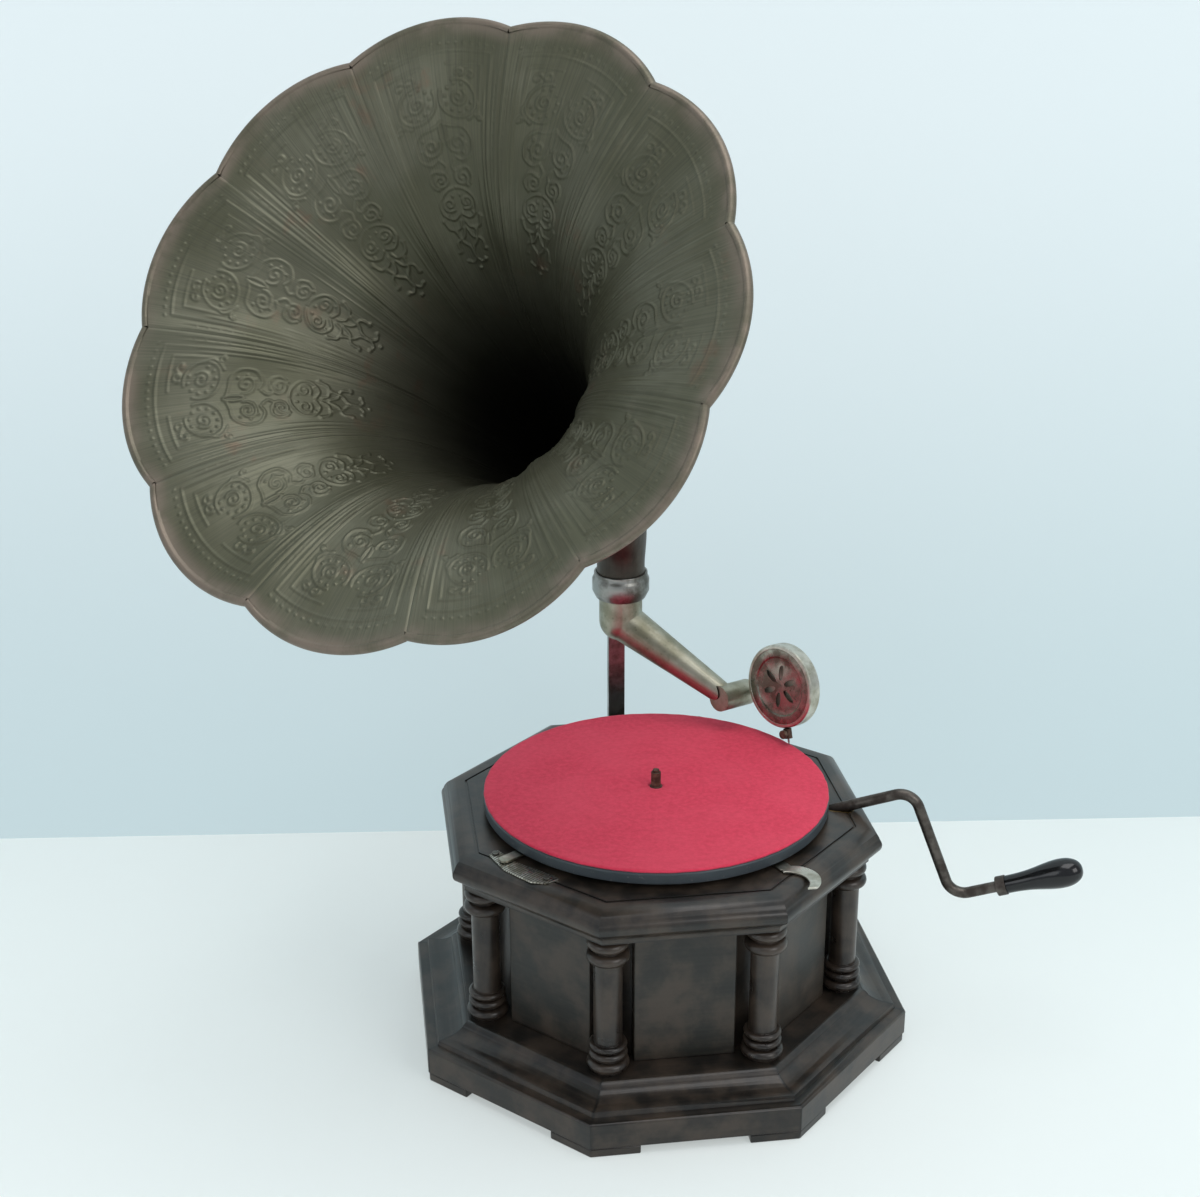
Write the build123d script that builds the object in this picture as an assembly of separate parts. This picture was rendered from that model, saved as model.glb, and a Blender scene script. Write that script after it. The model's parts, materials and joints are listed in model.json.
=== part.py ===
from build123d import *
from math import atan2, cos, degrees, pi, radians, sin, sqrt, tan
import os

# A horn gramophone on an octagonal columned cabinet. Millimetres, +Z up.
# It is drawn about the turntable's spindle, on the floor, with the front at -Y,
# and moved at the end so that the origin lies under the middle of the whole object.

# Octagonal cabinet, sizes across flats are twice the apothem
SIDES = 8
PLINTH_APOTHEM = 177.4
PLINTH_INNER_APOTHEM = 114.0
FOOT_HEIGHT = 6.5
FOOT_LENGTH = 35.0
FOOT_DEPTH = 24.0
FOOT_SETBACK = 0.8
PLINTH_TOP = 40.5
PLINTH_FASCIA_TOP = 25.0
PLINTH_STEP_APOTHEM = 165.0
PLINTH_OGEE_APOTHEM = 150.0
BOTTOM_BOARD_RISE = 3.0
BOTTOM_BOARD_THICKNESS = 8.0
BOTTOM_OPENING_RADIUS = 70.0
PANEL_APOTHEM = 128.0
PANEL_WIDTH = 72.0
PANEL_THICKNESS = 10.0
POST_RADIUS = 125.0
POST_INNER_RADIUS = 117.0
BOARD_UNDERSIDE = 148.0
BOARD_TOP = 175.0
BOARD_APOTHEM = 154.7
BOARD_SEAT_APOTHEM = 146.5
BOARD_GROOVE_APOTHEM = 137.0
BOARD_GROOVE_WIDTH = 1.6
BOARD_GROOVE_DEPTH = 1.0
COLUMN_CIRCLE_RADIUS = 142.8
COLUMN_SHAFT_RADIUS = 10.0
COLUMN_END_RADIUS = 11.0
# Turned beads of a column: height above the plinth, half height, radius
COLUMN_BEADS = [
    (6.0, 3.5, 15.0),
    (14.0, 2.8, 13.7),
    (20.5, 2.3, 13.4),
    (91.5, 4.0, 15.0),
    (101.5, 3.5, 14.5),
]

# Turntable
PLATTER_RADIUS = 127.0
PLATTER_BOTTOM = 179.0
PLATTER_TOP = 187.5
PLATTER_SKIN = 2.5
PLATTER_RIM = 3.0
PLATTER_HUB_RADIUS = 16.0
FELT_THICKNESS = 2.0
SPINDLE_RADIUS = 3.6
SPINDLE_TIP_HEIGHT = 13.0
SPINDLE_SHAFT_RADIUS = 4.5
SPINDLE_FLANGE_RADIUS = 12.0
BOARD_SPINDLE_HOLE_RADIUS = 7.0

# Spring motor, hung under the top board
RUNNING = 0.05
SEAT = 0.3
MOTOR_TOP_PLATE_Z = 112.0
MOTOR_BASE_PLATE_Z = 55.0
MOTOR_PLATE_THICKNESS = 3.0
MOTOR_OUTLINE = [(-44, -74), (6, -74), (70, -62), (104, -44), (104, 48), (86, 64), (-10, 68), (-44, 52)]
PILLAR_PLACES = [(2, -66), (-35, 43), (62, -52), (84, 53)]
PILLAR_RADIUS = 5.0
MOTOR_SCREW_RADIUS = 2.0
MOTOR_SCREW_HEAD_RADIUS = 4.5
MOTOR_SCREW_HEAD_HEIGHT = 2.0
BARREL_RADIUS = 40.0
BARREL_WALL = 1.5
BARREL_BOTTOM = 69.0
BARREL_HEIGHT = 33.0
GREAT_GEAR_THICKNESS = 4.0
GREAT_GEAR_TEETH = 80
GREAT_GEAR_MODULE = 1.1
ARBOR_RADIUS = 4.0
ARBOR_SHOULDER_RADIUS = 9.0
IDLER_PINION_TEETH = 16
IDLER_WHEEL_TEETH = 48
IDLER_WHEEL_MODULE = 1.3
IDLER_WHEEL_Z = 61.0
IDLER_WHEEL_THICKNESS = 4.0
IDLER_ARBOR_RADIUS = 3.0
SPINDLE_PINION_TEETH = 12
MAINSPRING_STRIP = 0.5
MAINSPRING_TURNS = 9
MAINSPRING_PITCH = 2.2
TOOTH_SHARE = 0.38
RATCHET_TEETH = 24
RATCHET_RADIUS = 15.0
RATCHET_DEPTH = 2.0
RATCHET_THICKNESS = 2.0
CLICK_WIDTH = 6.0
CLICK_PIN_RADIUS = 1.5
CLICK_PLACE = (26.0, 12.0)
CLICK_TIP_ANGLE = 0.30

# Governor, driven by a worm from a wheel on the spindle
WORM_WHEEL_TEETH = 20
WORM_MODULE = 1.25
WORM_WHEEL_THICKNESS = 3.0
WORM_RADIUS = 5.0
WORM_TURNS = 4
GOVERNOR_Z = 88.0
GOVERNOR_SHAFT_RADIUS = 2.5
GOVERNOR_COLLAR_Y = -14.0
GOVERNOR_DISC_Y = -46.0
GOVERNOR_DISC_RADIUS = 16.0
GOVERNOR_BALL_RADIUS = 4.0
GOVERNOR_BALL_CIRCLE = 11.0
GOVERNOR_BEARING_Y = (15.0, -66.0)
GOVERNOR_LEAF = 0.5
GOVERNOR_POST_THICKNESS = 4.0

# Winding crank: a slanted shaft through the board with a bevel pinion below it
CRANK_ENTRY = Vector(130.0, -27.5, BOARD_TOP)
CRANK_AZIMUTH = -24.0
CRANK_ELEVATION = 22.0
CRANK_RADIUS = 4.0
CRANK_SHAFT_OUT = 59.0
CRANK_ARM_LENGTH = 88.0
CRANK_GRIP_OFFSET = 97.5
CRANK_BEND_RADIUS = 13.0
CRANK_BUSH_WALL = 1.5
CRANK_APEX_DEPTH = 80.0
CRANK_HOLE_DEPTH = 95.0
CRANK_END_DEPTH = 122.0
HANDLE_LENGTH = 63.0
HANDLE_RADIUS = 10.5
HANDLE_NECK_RADIUS = 6.5
FERRULE_LENGTH = 7.0
FERRULE_RADIUS = 7.2
BEVEL_PINION_TEETH = 12
BEVEL_WHEEL_TEETH = 24
BEVEL_MODULE = 1.85
BEVEL_FACE = 7.0
BEVEL_BACKING = 1.5
BEVEL_HUB_HEIGHT = 3.0

# Brake and speed regulator on the board
LEVER_THICKNESS = 1.5
LEVER_LIFT = 0.6
BRAKE_PIVOT = (58.0, -80.0)
BRAKE_NECK = (71.5, -110.0)
BRAKE_WIDTH = 9.5
BRAKE_PAD_HEIGHT = 1.5
BRAKE_PAD_REACH = 19.0
BRAKE_POST_RADIUS = 3.0
BRAKE_POST_DEPTH = 12.0
SPEED_PIVOT = (-84.0, -50.0)
SPEED_TIP = (-118.5, -73.5)
SPEED_LEVER_WIDTH = 8.0
SPEED_ROD_RADIUS = 3.0
SPEED_PLATE_THICKNESS = 1.2
FRICTION_ARM_WIDTH = 6.0
FRICTION_ARM_GAP = 9.0
SPEED_PLATE_POINTS = [
    (-129, -63), (-122, -57), (-111, -76), (-87, -98), (-84, -103), (-93, -108), (-104, -104), (-121, -84),
]
SPEED_PLATE_SCREWS = [(-124.0, -62.0), (-92.5, -101.5)]
SPEED_PLATE_SCREW_RADIUS = 1.5
SPEED_PLATE_SCREW_HEAD = 2.6

# Bracket and collar that carry the arm and the horn
PIVOT = Vector(-5.4, 140.0, 0.0)
COLLAR_BOTTOM = 286.0
COLLAR_HEIGHT = 21.0
COLLAR_BOTTOM_RADIUS = 19.5
COLLAR_RADIUS = 22.4
COLLAR_LIP_RADIUS = 21.0
BRACKET_WIDTH = 13.0
BRACKET_THICKNESS = 8.0
BRACKET_FRONT_Y = 161.0
BRACKET_FOOT_WIDTH = 44.0
BRACKET_FOOT_THICKNESS = 5.0
BRACKET_FOOT_Z = (62.0, 112.0)
BRACKET_SCREW_RADIUS = 2.0
BRACKET_SCREW_HEAD_RADIUS = 4.2

# Tone arm, crosspiece and gooseneck
ARM_RADIUS = 17.0
ARM_BORE = 14.0
ARM_FLANGE_RADIUS = 18.2
ARM_FLANGE_HEIGHT = 3.0
ARM_ELBOW_Z = 266.0
ARM_ROOT_RADIUS = 15.8
ARM_END_RADIUS = 8.5
ARM_WALL = 1.8
CROSSPIECE_END = Vector(64.0, 87.0, 216.1)
CROSSPIECE_RADIUS = 10.1
CROSSPIECE_LENGTH = 32.0
CROSSPIECE_CAP = 2.0
CROSSPIECE_JOIN = 9.0
GOOSENECK_RADIUS = 8.5
GOOSENECK_BORE = 5.5
TENON_RADIUS = 7.0
TENON_LENGTH = 10.0
GOOSENECK_REACH = 38.0

# Soundbox
SOUNDBOX_CENTRE = Vector(105.5, 63.0, 234.4)
SOUNDBOX_AZIMUTH = -146.0
SOUNDBOX_TILT = 5.7
SOUNDBOX_RADIUS = 32.5
SOUNDBOX_THICKNESS = 11.5
SOUNDBOX_RIM = 3.0
SOUNDBOX_BACK = 2.0
SOUNDBOX_BOSS_RADIUS = 11.0
SOUNDBOX_BOSS_HEIGHT = 3.5
FACE_THICKNESS = 1.5
FACE_DISH = 0.8
FACE_RING = 6.0
FACE_SLOTS = 6
FACE_SLOT_INNER = 5.0
FACE_SLOT_OUTER = 17.0
FACE_SLOT_WIDTH = 4.6
DIAPHRAGM_THICKNESS = 0.8
DIAPHRAGM_Z = -6.2
NEEDLE_LEAN = 17.0
NEEDLE_REACH = 46.4
NEEDLE_RADIUS = 0.8
CHUCK_RADIUS = 3.2
CHUCK_START = 33.4
STYLUS_PIVOT = 31.0
STYLUS_PIVOT_RADIUS = 1.2
CHUCK_END = 41.0
CHUCK_Z = -4.0
NEEDLE_START = CHUCK_END - 6.0
SCREW_REACH = (CHUCK_START + CHUCK_END) / 2
NEEDLE_SCREW_RADIUS = 1.3
NEEDLE_SCREW_HEAD_RADIUS = 3.4
NEEDLE_SCREW_HEAD_HEIGHT = 2.6

# Horn: eleven petals, an elbow and a neck that turns in the collar
HORN_AZIMUTH = -124.0
HORN_ELEVATION = 36.1
MOUTH_CENTRE = Vector(-166.1, -98.4, 565.3)
PETALS = 11
FIRST_SEAM = 2.7
SEAM_RADIUS = 201.3
LOBE_HEIGHT = 9.7
SEAM_GAP = 0.5
PETAL_WALL = 1.2
BEAD_RADIUS = 3.0
FLARE_OFFSET = 50.0
FLARE_FLOOR = 6.0
FLARE_SCALE = (SEAM_RADIUS - FLARE_FLOOR) * FLARE_OFFSET
PETAL_LENGTH = 300.0
PETAL_STATIONS = [1.8, 6.0, 12.0, 22.0, 38.0, 62.0, 95.0, 140.0, 195.0, 250.0, PETAL_LENGTH]
ELBOW_BEND_RADIUS = 72.0
NECK_RADIUS = 19.0
NECK_WALL = 1.2
NECK_BOTTOM = 296.1

CORNER = 360 / SIDES
STANDING = (Align.CENTER, Align.CENTER, Align.MIN)
parts = {}


def direction(azimuth, elevation):
    """Unit vector at an azimuth from +X and an elevation from the floor, in degrees."""
    flat = cos(radians(elevation))
    return Vector(flat * cos(radians(azimuth)), flat * sin(radians(azimuth)), sin(radians(elevation)))


def octagon(apothem, low, high):
    """Octagonal block with flats facing X and Y, between two heights."""
    outline = RegularPolygon(apothem, SIDES, major_radius=False, rotation=CORNER / 2)
    return Pos(0, 0, low) * extrude(outline, high - low)


def rod(radius, start, end, end_radius=None):
    """Round bar, or a cone where the end has its own radius, from one point to another."""
    axis = end - start
    plane = Plane(origin=start, z_dir=axis)
    if end_radius is None:
        return plane * Cylinder(radius, axis.length, align=STANDING)
    return plane * Cone(radius, end_radius, axis.length, align=STANDING)


def disc(radius, low, high, at=(0.0, 0.0)):
    """Upright round disc or post between two heights."""
    return rod(radius, Vector(at[0], at[1], low), Vector(at[0], at[1], high))


def slab(points, low, high):
    """Flat plate with a polygon outline between two heights."""
    return Pos(0, 0, low) * extrude(Polygon(*points, align=None), high - low, dir=(0, 0, 1))


def turned(points):
    """Solid turned about Z from a closed outline of (radius, height) points."""
    return revolve(Plane.XZ * make_face(Polyline(*points, close=True)), Axis.Z)


def around(shape, count, first=0.0):
    """Copies of a shape turned about Z in equal steps."""
    return [Rot(0, 0, first + 360 / count * k) * shape for k in range(count)]


def strip(start, end, width, low, high):
    """Flat bar with round ends between two places on the board."""
    along = Vector(end[0] - start[0], end[1] - start[1], 0)
    plane = Plane(origin=(start[0], start[1], low), x_dir=along, z_dir=(0, 0, 1))
    bar = Pos(along.length / 2, 0, 0) * SlotCenterToCenter(along.length, width)
    return plane * extrude(bar, high - low)


def tooth_widths(module):
    """Half widths of a thin straight tooth at its foot and at its crest."""
    half = TOOTH_SHARE * pi * module / 2
    return 1.25 * half, 0.55 * half


def gear(teeth, module, thickness, phase=0.0):
    """Spur gear with thin straight teeth, one tooth centred at the phase angle in degrees."""
    pitch = teeth * module / 2
    root = pitch - 1.2 * module
    tip = pitch + 0.85 * module
    foot, crest = tooth_widths(module)
    outline = []
    for k in range(teeth):
        middle = radians(phase) + 2 * pi * k / teeth
        for radius, width in ((root, -foot), (tip, -crest), (tip, crest), (root, foot)):
            angle = middle + width / radius
            outline.append((radius * cos(angle), radius * sin(angle)))
    return extrude(Polygon(*outline, align=None), thickness)


def bevel(teeth, module, cone, hub, phase):
    """Bevel gear with its cone's tip at the origin and its axis along +Z."""
    distance = teeth * module / 2 / sin(cone)
    inner = (distance - BEVEL_FACE) / distance
    depth = 1.2 * module
    rim = (distance * sin(cone) - depth * cos(cone), distance * cos(cone) + depth * sin(cone))
    back = rim[1] + BEVEL_BACKING
    end = back + BEVEL_HUB_HEIGHT
    front = [(0, rim[1] * inner), (rim[0] * inner, rim[1] * inner), rim]
    body = turned(front + [(rim[0], back), (hub, back), (hub, end), (0, end)])
    foot, crest = tooth_widths(module)
    tip = 0.85 * module
    sunk = -depth - 0.4
    sections = []
    for scale in (1.0, inner):
        corners = []
        for height, width in ((sunk, -foot), (tip, -crest), (tip, crest), (sunk, foot)):
            x = distance * sin(cone) + height * cos(cone)
            z = distance * cos(cone) - height * sin(cone)
            corners.append((x * scale, width * scale, z * scale))
        sections.append(make_face(Polyline(*corners, close=True)))
    tooth = loft(sections, ruled=True)
    return body + around(tooth, teeth, phase)


# Cabinet

def mitred(profile):
    """Eight mitred lengths of a moulding, from its section of (apothem, height) edges."""
    length = extrude(Plane.XZ * make_face(profile), PLINTH_APOTHEM, both=True)
    return around(length & corner_wedge(FOOT_LENGTH), SIDES)


def plinth():
    """Plinth moulding: a fascia with a bead, a step and an ogee up to a flat top."""
    edge = PLINTH_APOTHEM
    step = PLINTH_STEP_APOTHEM
    ogee = PLINTH_OGEE_APOTHEM
    fascia = PLINTH_FASCIA_TOP
    bead = 2.0
    step_z = 31.0
    ogee_z = 36.0
    low = [
        (PLINTH_INNER_APOTHEM, FOOT_HEIGHT),
        (edge - 1, FOOT_HEIGHT),
        (edge, FOOT_HEIGHT + 1),
        (edge, fascia),
    ]
    ledge = [
        (edge - bead, fascia + bead),
        (step + 5, fascia + bead + 0.5),
        (step + 4, step_z),
        (step, step_z + 0.5),
    ]
    top = [(ogee - 6, PLINTH_TOP), (PLINTH_INNER_APOTHEM, PLINTH_TOP), low[0]]
    section = Curve() + [
        Polyline(*low),
        ThreePointArc(low[-1], (edge - 0.6, fascia + 1.4), ledge[0]),
        Polyline(*ledge),
        ThreePointArc(ledge[-1], (step - 7.5, step_z + 1.8), (ogee + 1.5, ogee_z)),
        ThreePointArc((ogee + 1.5, ogee_z), (ogee - 0.5, ogee_z + 2.6), top[0]),
        Polyline(*top),
    ]
    return mitred(section)


def corner_wedge(extra):
    """Wedge of one eighth of the plan, centred on +X."""
    reach = PLINTH_APOTHEM + extra
    half = reach * tan(radians(CORNER / 2))
    return slab([(0, 0), (reach, -half), (reach, half)], -1, BOARD_TOP + 1)


def feet():
    """Bracket foot under each corner, set back a little from the plinth."""
    apothem = PLINTH_APOTHEM - FOOT_SETBACK
    ring = octagon(apothem, 0, FOOT_HEIGHT) - octagon(apothem - FOOT_DEPTH, -1, FOOT_HEIGHT + 1)
    end = apothem * tan(radians(CORNER / 2)) - FOOT_LENGTH
    reach = 2 * FOOT_LENGTH
    side = Vector(end, 0).rotate(Axis.Z, 90)
    near = [(apothem - 2 * FOOT_DEPTH, side.Y), (apothem + reach, side.Y), (apothem + reach, apothem)]
    half_foot = slab(near + [(apothem - 2 * FOOT_DEPTH, apothem)], -1, FOOT_HEIGHT + 1)
    half_foot &= corner_wedge(reach)
    other_half = Rot(0, 0, CORNER) * mirror(half_foot, about=Plane.XZ)
    return around(ring & (half_foot + other_half), SIDES)


def side_panels():
    """Eight flat panels standing on the plinth."""
    height = BOARD_UNDERSIDE - PLINTH_TOP
    outer_face = (Align.MAX, Align.CENTER, Align.MIN)
    panel = Pos(PANEL_APOTHEM, 0, PLINTH_TOP) * Box(PANEL_THICKNESS, PANEL_WIDTH, height, align=outer_face)
    return around(panel, SIDES)


def corner_posts():
    """Posts that close the recess behind each column, fitted between the panels' edges."""
    half = radians(CORNER / 2)

    def edge(apothem):
        """Panel's edge at a depth, seen from the corner: distance out and half width."""
        out = apothem * cos(half) + PANEL_WIDTH / 2 * sin(half)
        return out, apothem * sin(half) - PANEL_WIDTH / 2 * cos(half)

    outer = edge(PANEL_APOTHEM)
    inner = edge(PANEL_APOTHEM - PANEL_THICKNESS)
    share = (POST_RADIUS - inner[0]) / (outer[0] - inner[0])
    face = inner[1] + share * (outer[1] - inner[1])
    right = [(POST_RADIUS, face), inner, (POST_INNER_RADIUS, inner[1])]
    points = right + [(x, -y) for x, y in reversed(right)]
    return around(slab(points, PLINTH_TOP, BOARD_UNDERSIDE), SIDES, CORNER / 2)


def columns():
    """Turned columns with beads above and below a plain shaft, one at each corner."""
    height = BOARD_UNDERSIDE - PLINTH_TOP
    neck = COLUMN_SHAFT_RADIUS
    column = disc(neck, 0, height)
    foot = COLUMN_BEADS[0][0] - COLUMN_BEADS[0][1]
    cap = COLUMN_BEADS[-1][0] + COLUMN_BEADS[-1][1]
    column += disc(COLUMN_END_RADIUS, 0, foot) + disc(COLUMN_END_RADIUS, cap, height)
    for middle, half, radius in COLUMN_BEADS:
        low, high, core = middle - half, middle + half, neck / 2
        arc = ThreePointArc((neck, low), (radius, middle), (neck, high))
        sides = Polyline((neck, high), (core, high), (core, low), (neck, low))
        column += revolve(Plane.XZ * make_face(Curve() + [arc, sides]), Axis.Z)
    return around(Pos(COLUMN_CIRCLE_RADIUS, 0, PLINTH_TOP) * column, SIDES, CORNER / 2)


def top_board():
    """Board with a moulded edge, a groove inside it and the holes of the motor."""
    edge = BOARD_APOTHEM
    seat = BOARD_SEAT_APOTHEM
    cove_z = 156.0
    lower_z = 160.0
    bead_z = 166.5
    section = Curve() + [
        Line((0, BOARD_UNDERSIDE), (seat, BOARD_UNDERSIDE)),
        ThreePointArc((seat, BOARD_UNDERSIDE), (seat + 1.0, cove_z - 3), (seat + 4.5, cove_z)),
        Line((seat + 4.5, cove_z), (edge - 1.2, lower_z - 2)),
        ThreePointArc((edge - 1.2, lower_z - 2), (edge, (lower_z + bead_z) / 2), (edge - 1.5, bead_z)),
        ThreePointArc((edge - 1.5, bead_z), (edge - 5.0, BOARD_TOP - 2.8), (edge - 11, BOARD_TOP)),
        Line((edge - 11, BOARD_TOP), (0, BOARD_TOP)),
        Line((0, BOARD_TOP), (0, BOARD_UNDERSIDE)),
    ]
    lengths = mitred(section)
    board = lengths[0]
    for length in lengths[1:]:
        board += length
    groove = octagon(BOARD_GROOVE_APOTHEM, BOARD_TOP - BOARD_GROOVE_DEPTH, BOARD_TOP + 1)
    groove -= octagon(BOARD_GROOVE_APOTHEM - BOARD_GROOVE_WIDTH, BOARD_TOP - 2, BOARD_TOP + 2)
    board -= groove
    board -= disc(BOARD_SPINDLE_HOLE_RADIUS, BOARD_UNDERSIDE - 1, BOARD_TOP + 1)
    board -= disc(SPEED_ROD_RADIUS + SEAT, BOARD_UNDERSIDE - 1, BOARD_TOP + 1, SPEED_PIVOT)
    for place in PILLAR_PLACES:
        board -= disc(MOTOR_SCREW_RADIUS + RUNNING, BOARD_UNDERSIDE - 1, BOARD_TOP + 1, place)
    board -= disc(BRAKE_POST_RADIUS + RUNNING, BOARD_TOP - BRAKE_POST_DEPTH, BOARD_TOP + 1, BRAKE_PIVOT)
    hole_radius = CRANK_RADIUS + CRANK_BUSH_WALL + RUNNING
    return board - rod(hole_radius, crank_point(12), crank_point(-CRANK_HOLE_DEPTH))


# Motor

CRANK_OUT = direction(CRANK_AZIMUTH, CRANK_ELEVATION)
CRANK_APEX = CRANK_ENTRY - CRANK_OUT * CRANK_APEX_DEPTH
BARREL_AXIS = (CRANK_APEX.X, CRANK_APEX.Y)
CLICK_AXIS = (BARREL_AXIS[0] + CLICK_PLACE[0], BARREL_AXIS[1] + CLICK_PLACE[1])


def crank_point(out):
    """Point on the crank's shaft, measured outwards from the board's top."""
    return CRANK_ENTRY + CRANK_OUT * out


def idler_axis():
    """Place of the intermediate arbor, in mesh with the spindle and the barrel."""
    to_barrel = sqrt(BARREL_AXIS[0] ** 2 + BARREL_AXIS[1] ** 2)
    to_spindle = (SPINDLE_PINION_TEETH + IDLER_WHEEL_TEETH) * IDLER_WHEEL_MODULE / 2
    to_gear = (GREAT_GEAR_TEETH + IDLER_PINION_TEETH) * GREAT_GEAR_MODULE / 2
    turn = (to_spindle ** 2 + to_barrel ** 2 - to_gear ** 2) / (2 * to_spindle * to_barrel)
    angle = atan2(BARREL_AXIS[1], BARREL_AXIS[0]) + atan2(sqrt(1 - turn ** 2), turn)
    return to_spindle * cos(angle), to_spindle * sin(angle)


IDLER_AXIS = idler_axis()
TOP_PLATE_UPPER = MOTOR_TOP_PLATE_Z + MOTOR_PLATE_THICKNESS
GREAT_GEAR_Z = BARREL_BOTTOM + BARREL_HEIGHT
BASE_PLATE_UPPER = MOTOR_BASE_PLATE_Z + MOTOR_PLATE_THICKNESS
WORM_X = -(WORM_WHEEL_TEETH * WORM_MODULE / 2 + WORM_RADIUS)
SHAFT_ANGLE = radians(90 - CRANK_ELEVATION)
PINION_CONE = atan2(sin(SHAFT_ANGLE), BEVEL_WHEEL_TEETH / BEVEL_PINION_TEETH + cos(SHAFT_ANGLE))
WHEEL_CONE = SHAFT_ANGLE - PINION_CONE
RATCHET_Z = TOP_PLATE_UPPER + 0.5


def motor_plate():
    """Upper motor plate with bearings, and the post that holds the crank shaft's inner end."""
    plate = slab(MOTOR_OUTLINE, MOTOR_TOP_PLATE_Z, TOP_PLATE_UPPER)
    plate -= disc(SPINDLE_SHAFT_RADIUS + RUNNING, 0, BOARD_TOP)
    plate -= disc(ARBOR_RADIUS + RUNNING, 0, BOARD_TOP, BARREL_AXIS)
    plate -= disc(IDLER_ARBOR_RADIUS + RUNNING, 0, BOARD_TOP, IDLER_AXIS)
    plate -= disc(CLICK_PIN_RADIUS + RUNNING, 0, BOARD_TOP, CLICK_AXIS)
    for place in PILLAR_PLACES:
        plate -= disc(MOTOR_SCREW_RADIUS + RUNNING, 0, BOARD_TOP, place)
    inner = crank_point(-CRANK_END_DEPTH)
    post = Pos(inner.X, inner.Y, TOP_PLATE_UPPER) * Rot(0, 0, CRANK_AZIMUTH)
    post = post * Box(5, 14, inner.Z + 7 - TOP_PLATE_UPPER, align=STANDING)
    post -= rod(CRANK_RADIUS + RUNNING, inner - CRANK_OUT * 12, inner + CRANK_OUT * 12)
    return [plate, post]


def motor_base_plate():
    """Lower motor plate with the footstep bearings."""
    plate = slab(MOTOR_OUTLINE, MOTOR_BASE_PLATE_Z, BASE_PLATE_UPPER)
    plate -= disc(SPINDLE_SHAFT_RADIUS + RUNNING, 0, BOARD_TOP)
    plate -= disc(ARBOR_RADIUS + RUNNING, 0, BOARD_TOP, BARREL_AXIS)
    plate -= disc(IDLER_ARBOR_RADIUS + RUNNING, 0, BOARD_TOP, IDLER_AXIS)
    return plate


def motor_pillars():
    """Pillars between the motor plates, and hangers from the upper plate to the board."""
    pillars = []
    for place in PILLAR_PLACES:
        pillars.append(disc(PILLAR_RADIUS, BASE_PLATE_UPPER, MOTOR_TOP_PLATE_Z, place))
        hanger = disc(PILLAR_RADIUS, TOP_PLATE_UPPER, BOARD_UNDERSIDE, place)
        pillars.append(hanger - disc(MOTOR_SCREW_RADIUS + RUNNING, 0, BOARD_TOP, place))
    return pillars


def motor_screws():
    """Long screws from the board's top down through the hangers."""
    head = BOARD_TOP + MOTOR_SCREW_HEAD_HEIGHT
    screws = []
    for place in PILLAR_PLACES:
        shank = disc(MOTOR_SCREW_RADIUS, MOTOR_TOP_PLATE_Z, BOARD_TOP, place)
        screws.append(shank + disc(MOTOR_SCREW_HEAD_RADIUS, BOARD_TOP, head, place))
    return screws


def spindle():
    """Turntable spindle with its flange, driving pinion and a thinner end for a record's hole."""
    top = PLATTER_TOP + FELT_THICKNESS + SPINDLE_TIP_HEIGHT
    seat = PLATTER_TOP + FELT_THICKNESS
    shaft = disc(SPINDLE_SHAFT_RADIUS, MOTOR_BASE_PLATE_Z, seat)
    shaft += disc(SPINDLE_RADIUS, seat, top - 2) + disc(SPINDLE_RADIUS - 1.2, top - 3, top)
    shaft += disc(SPINDLE_FLANGE_RADIUS, PLATTER_BOTTOM - 3, PLATTER_BOTTOM)
    phase = degrees(atan2(IDLER_AXIS[1], IDLER_AXIS[0])) + 180 / SPINDLE_PINION_TEETH
    pinion = gear(SPINDLE_PINION_TEETH, IDLER_WHEEL_MODULE, IDLER_WHEEL_THICKNESS + 2, phase)
    shaft += Pos(0, 0, BASE_PLATE_UPPER + SEAT) * pinion
    return shaft


def worm_wheel():
    """Wheel on the spindle that drives the governor's worm."""
    low = GOVERNOR_Z - WORM_WHEEL_THICKNESS / 2
    wheel = Pos(0, 0, low) * gear(WORM_WHEEL_TEETH, WORM_MODULE, WORM_WHEEL_THICKNESS, 180)
    return wheel - disc(SPINDLE_SHAFT_RADIUS + RUNNING, 0, BOARD_TOP)


def idler():
    """Intermediate arbor: a wheel driving the spindle, and a pinion driven by the barrel."""
    to_spindle = degrees(atan2(-IDLER_AXIS[1], -IDLER_AXIS[0]))
    to_barrel = degrees(atan2(BARREL_AXIS[1] - IDLER_AXIS[1], BARREL_AXIS[0] - IDLER_AXIS[0]))
    place = Pos(IDLER_AXIS[0], IDLER_AXIS[1], 0)
    arbor = disc(IDLER_ARBOR_RADIUS, MOTOR_BASE_PLATE_Z, TOP_PLATE_UPPER, IDLER_AXIS)
    arbor += disc(IDLER_ARBOR_RADIUS + 3, BASE_PLATE_UPPER + SEAT, IDLER_WHEEL_Z, IDLER_AXIS)
    wheel = gear(IDLER_WHEEL_TEETH, IDLER_WHEEL_MODULE, IDLER_WHEEL_THICKNESS, to_spindle)
    gap = to_barrel + 180 / IDLER_PINION_TEETH
    pinion = gear(IDLER_PINION_TEETH, GREAT_GEAR_MODULE, GREAT_GEAR_THICKNESS + 2, gap)
    arbor += place * Pos(0, 0, IDLER_WHEEL_Z) * wheel
    arbor += place * Pos(0, 0, GREAT_GEAR_Z - 1) * pinion
    return arbor


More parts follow.
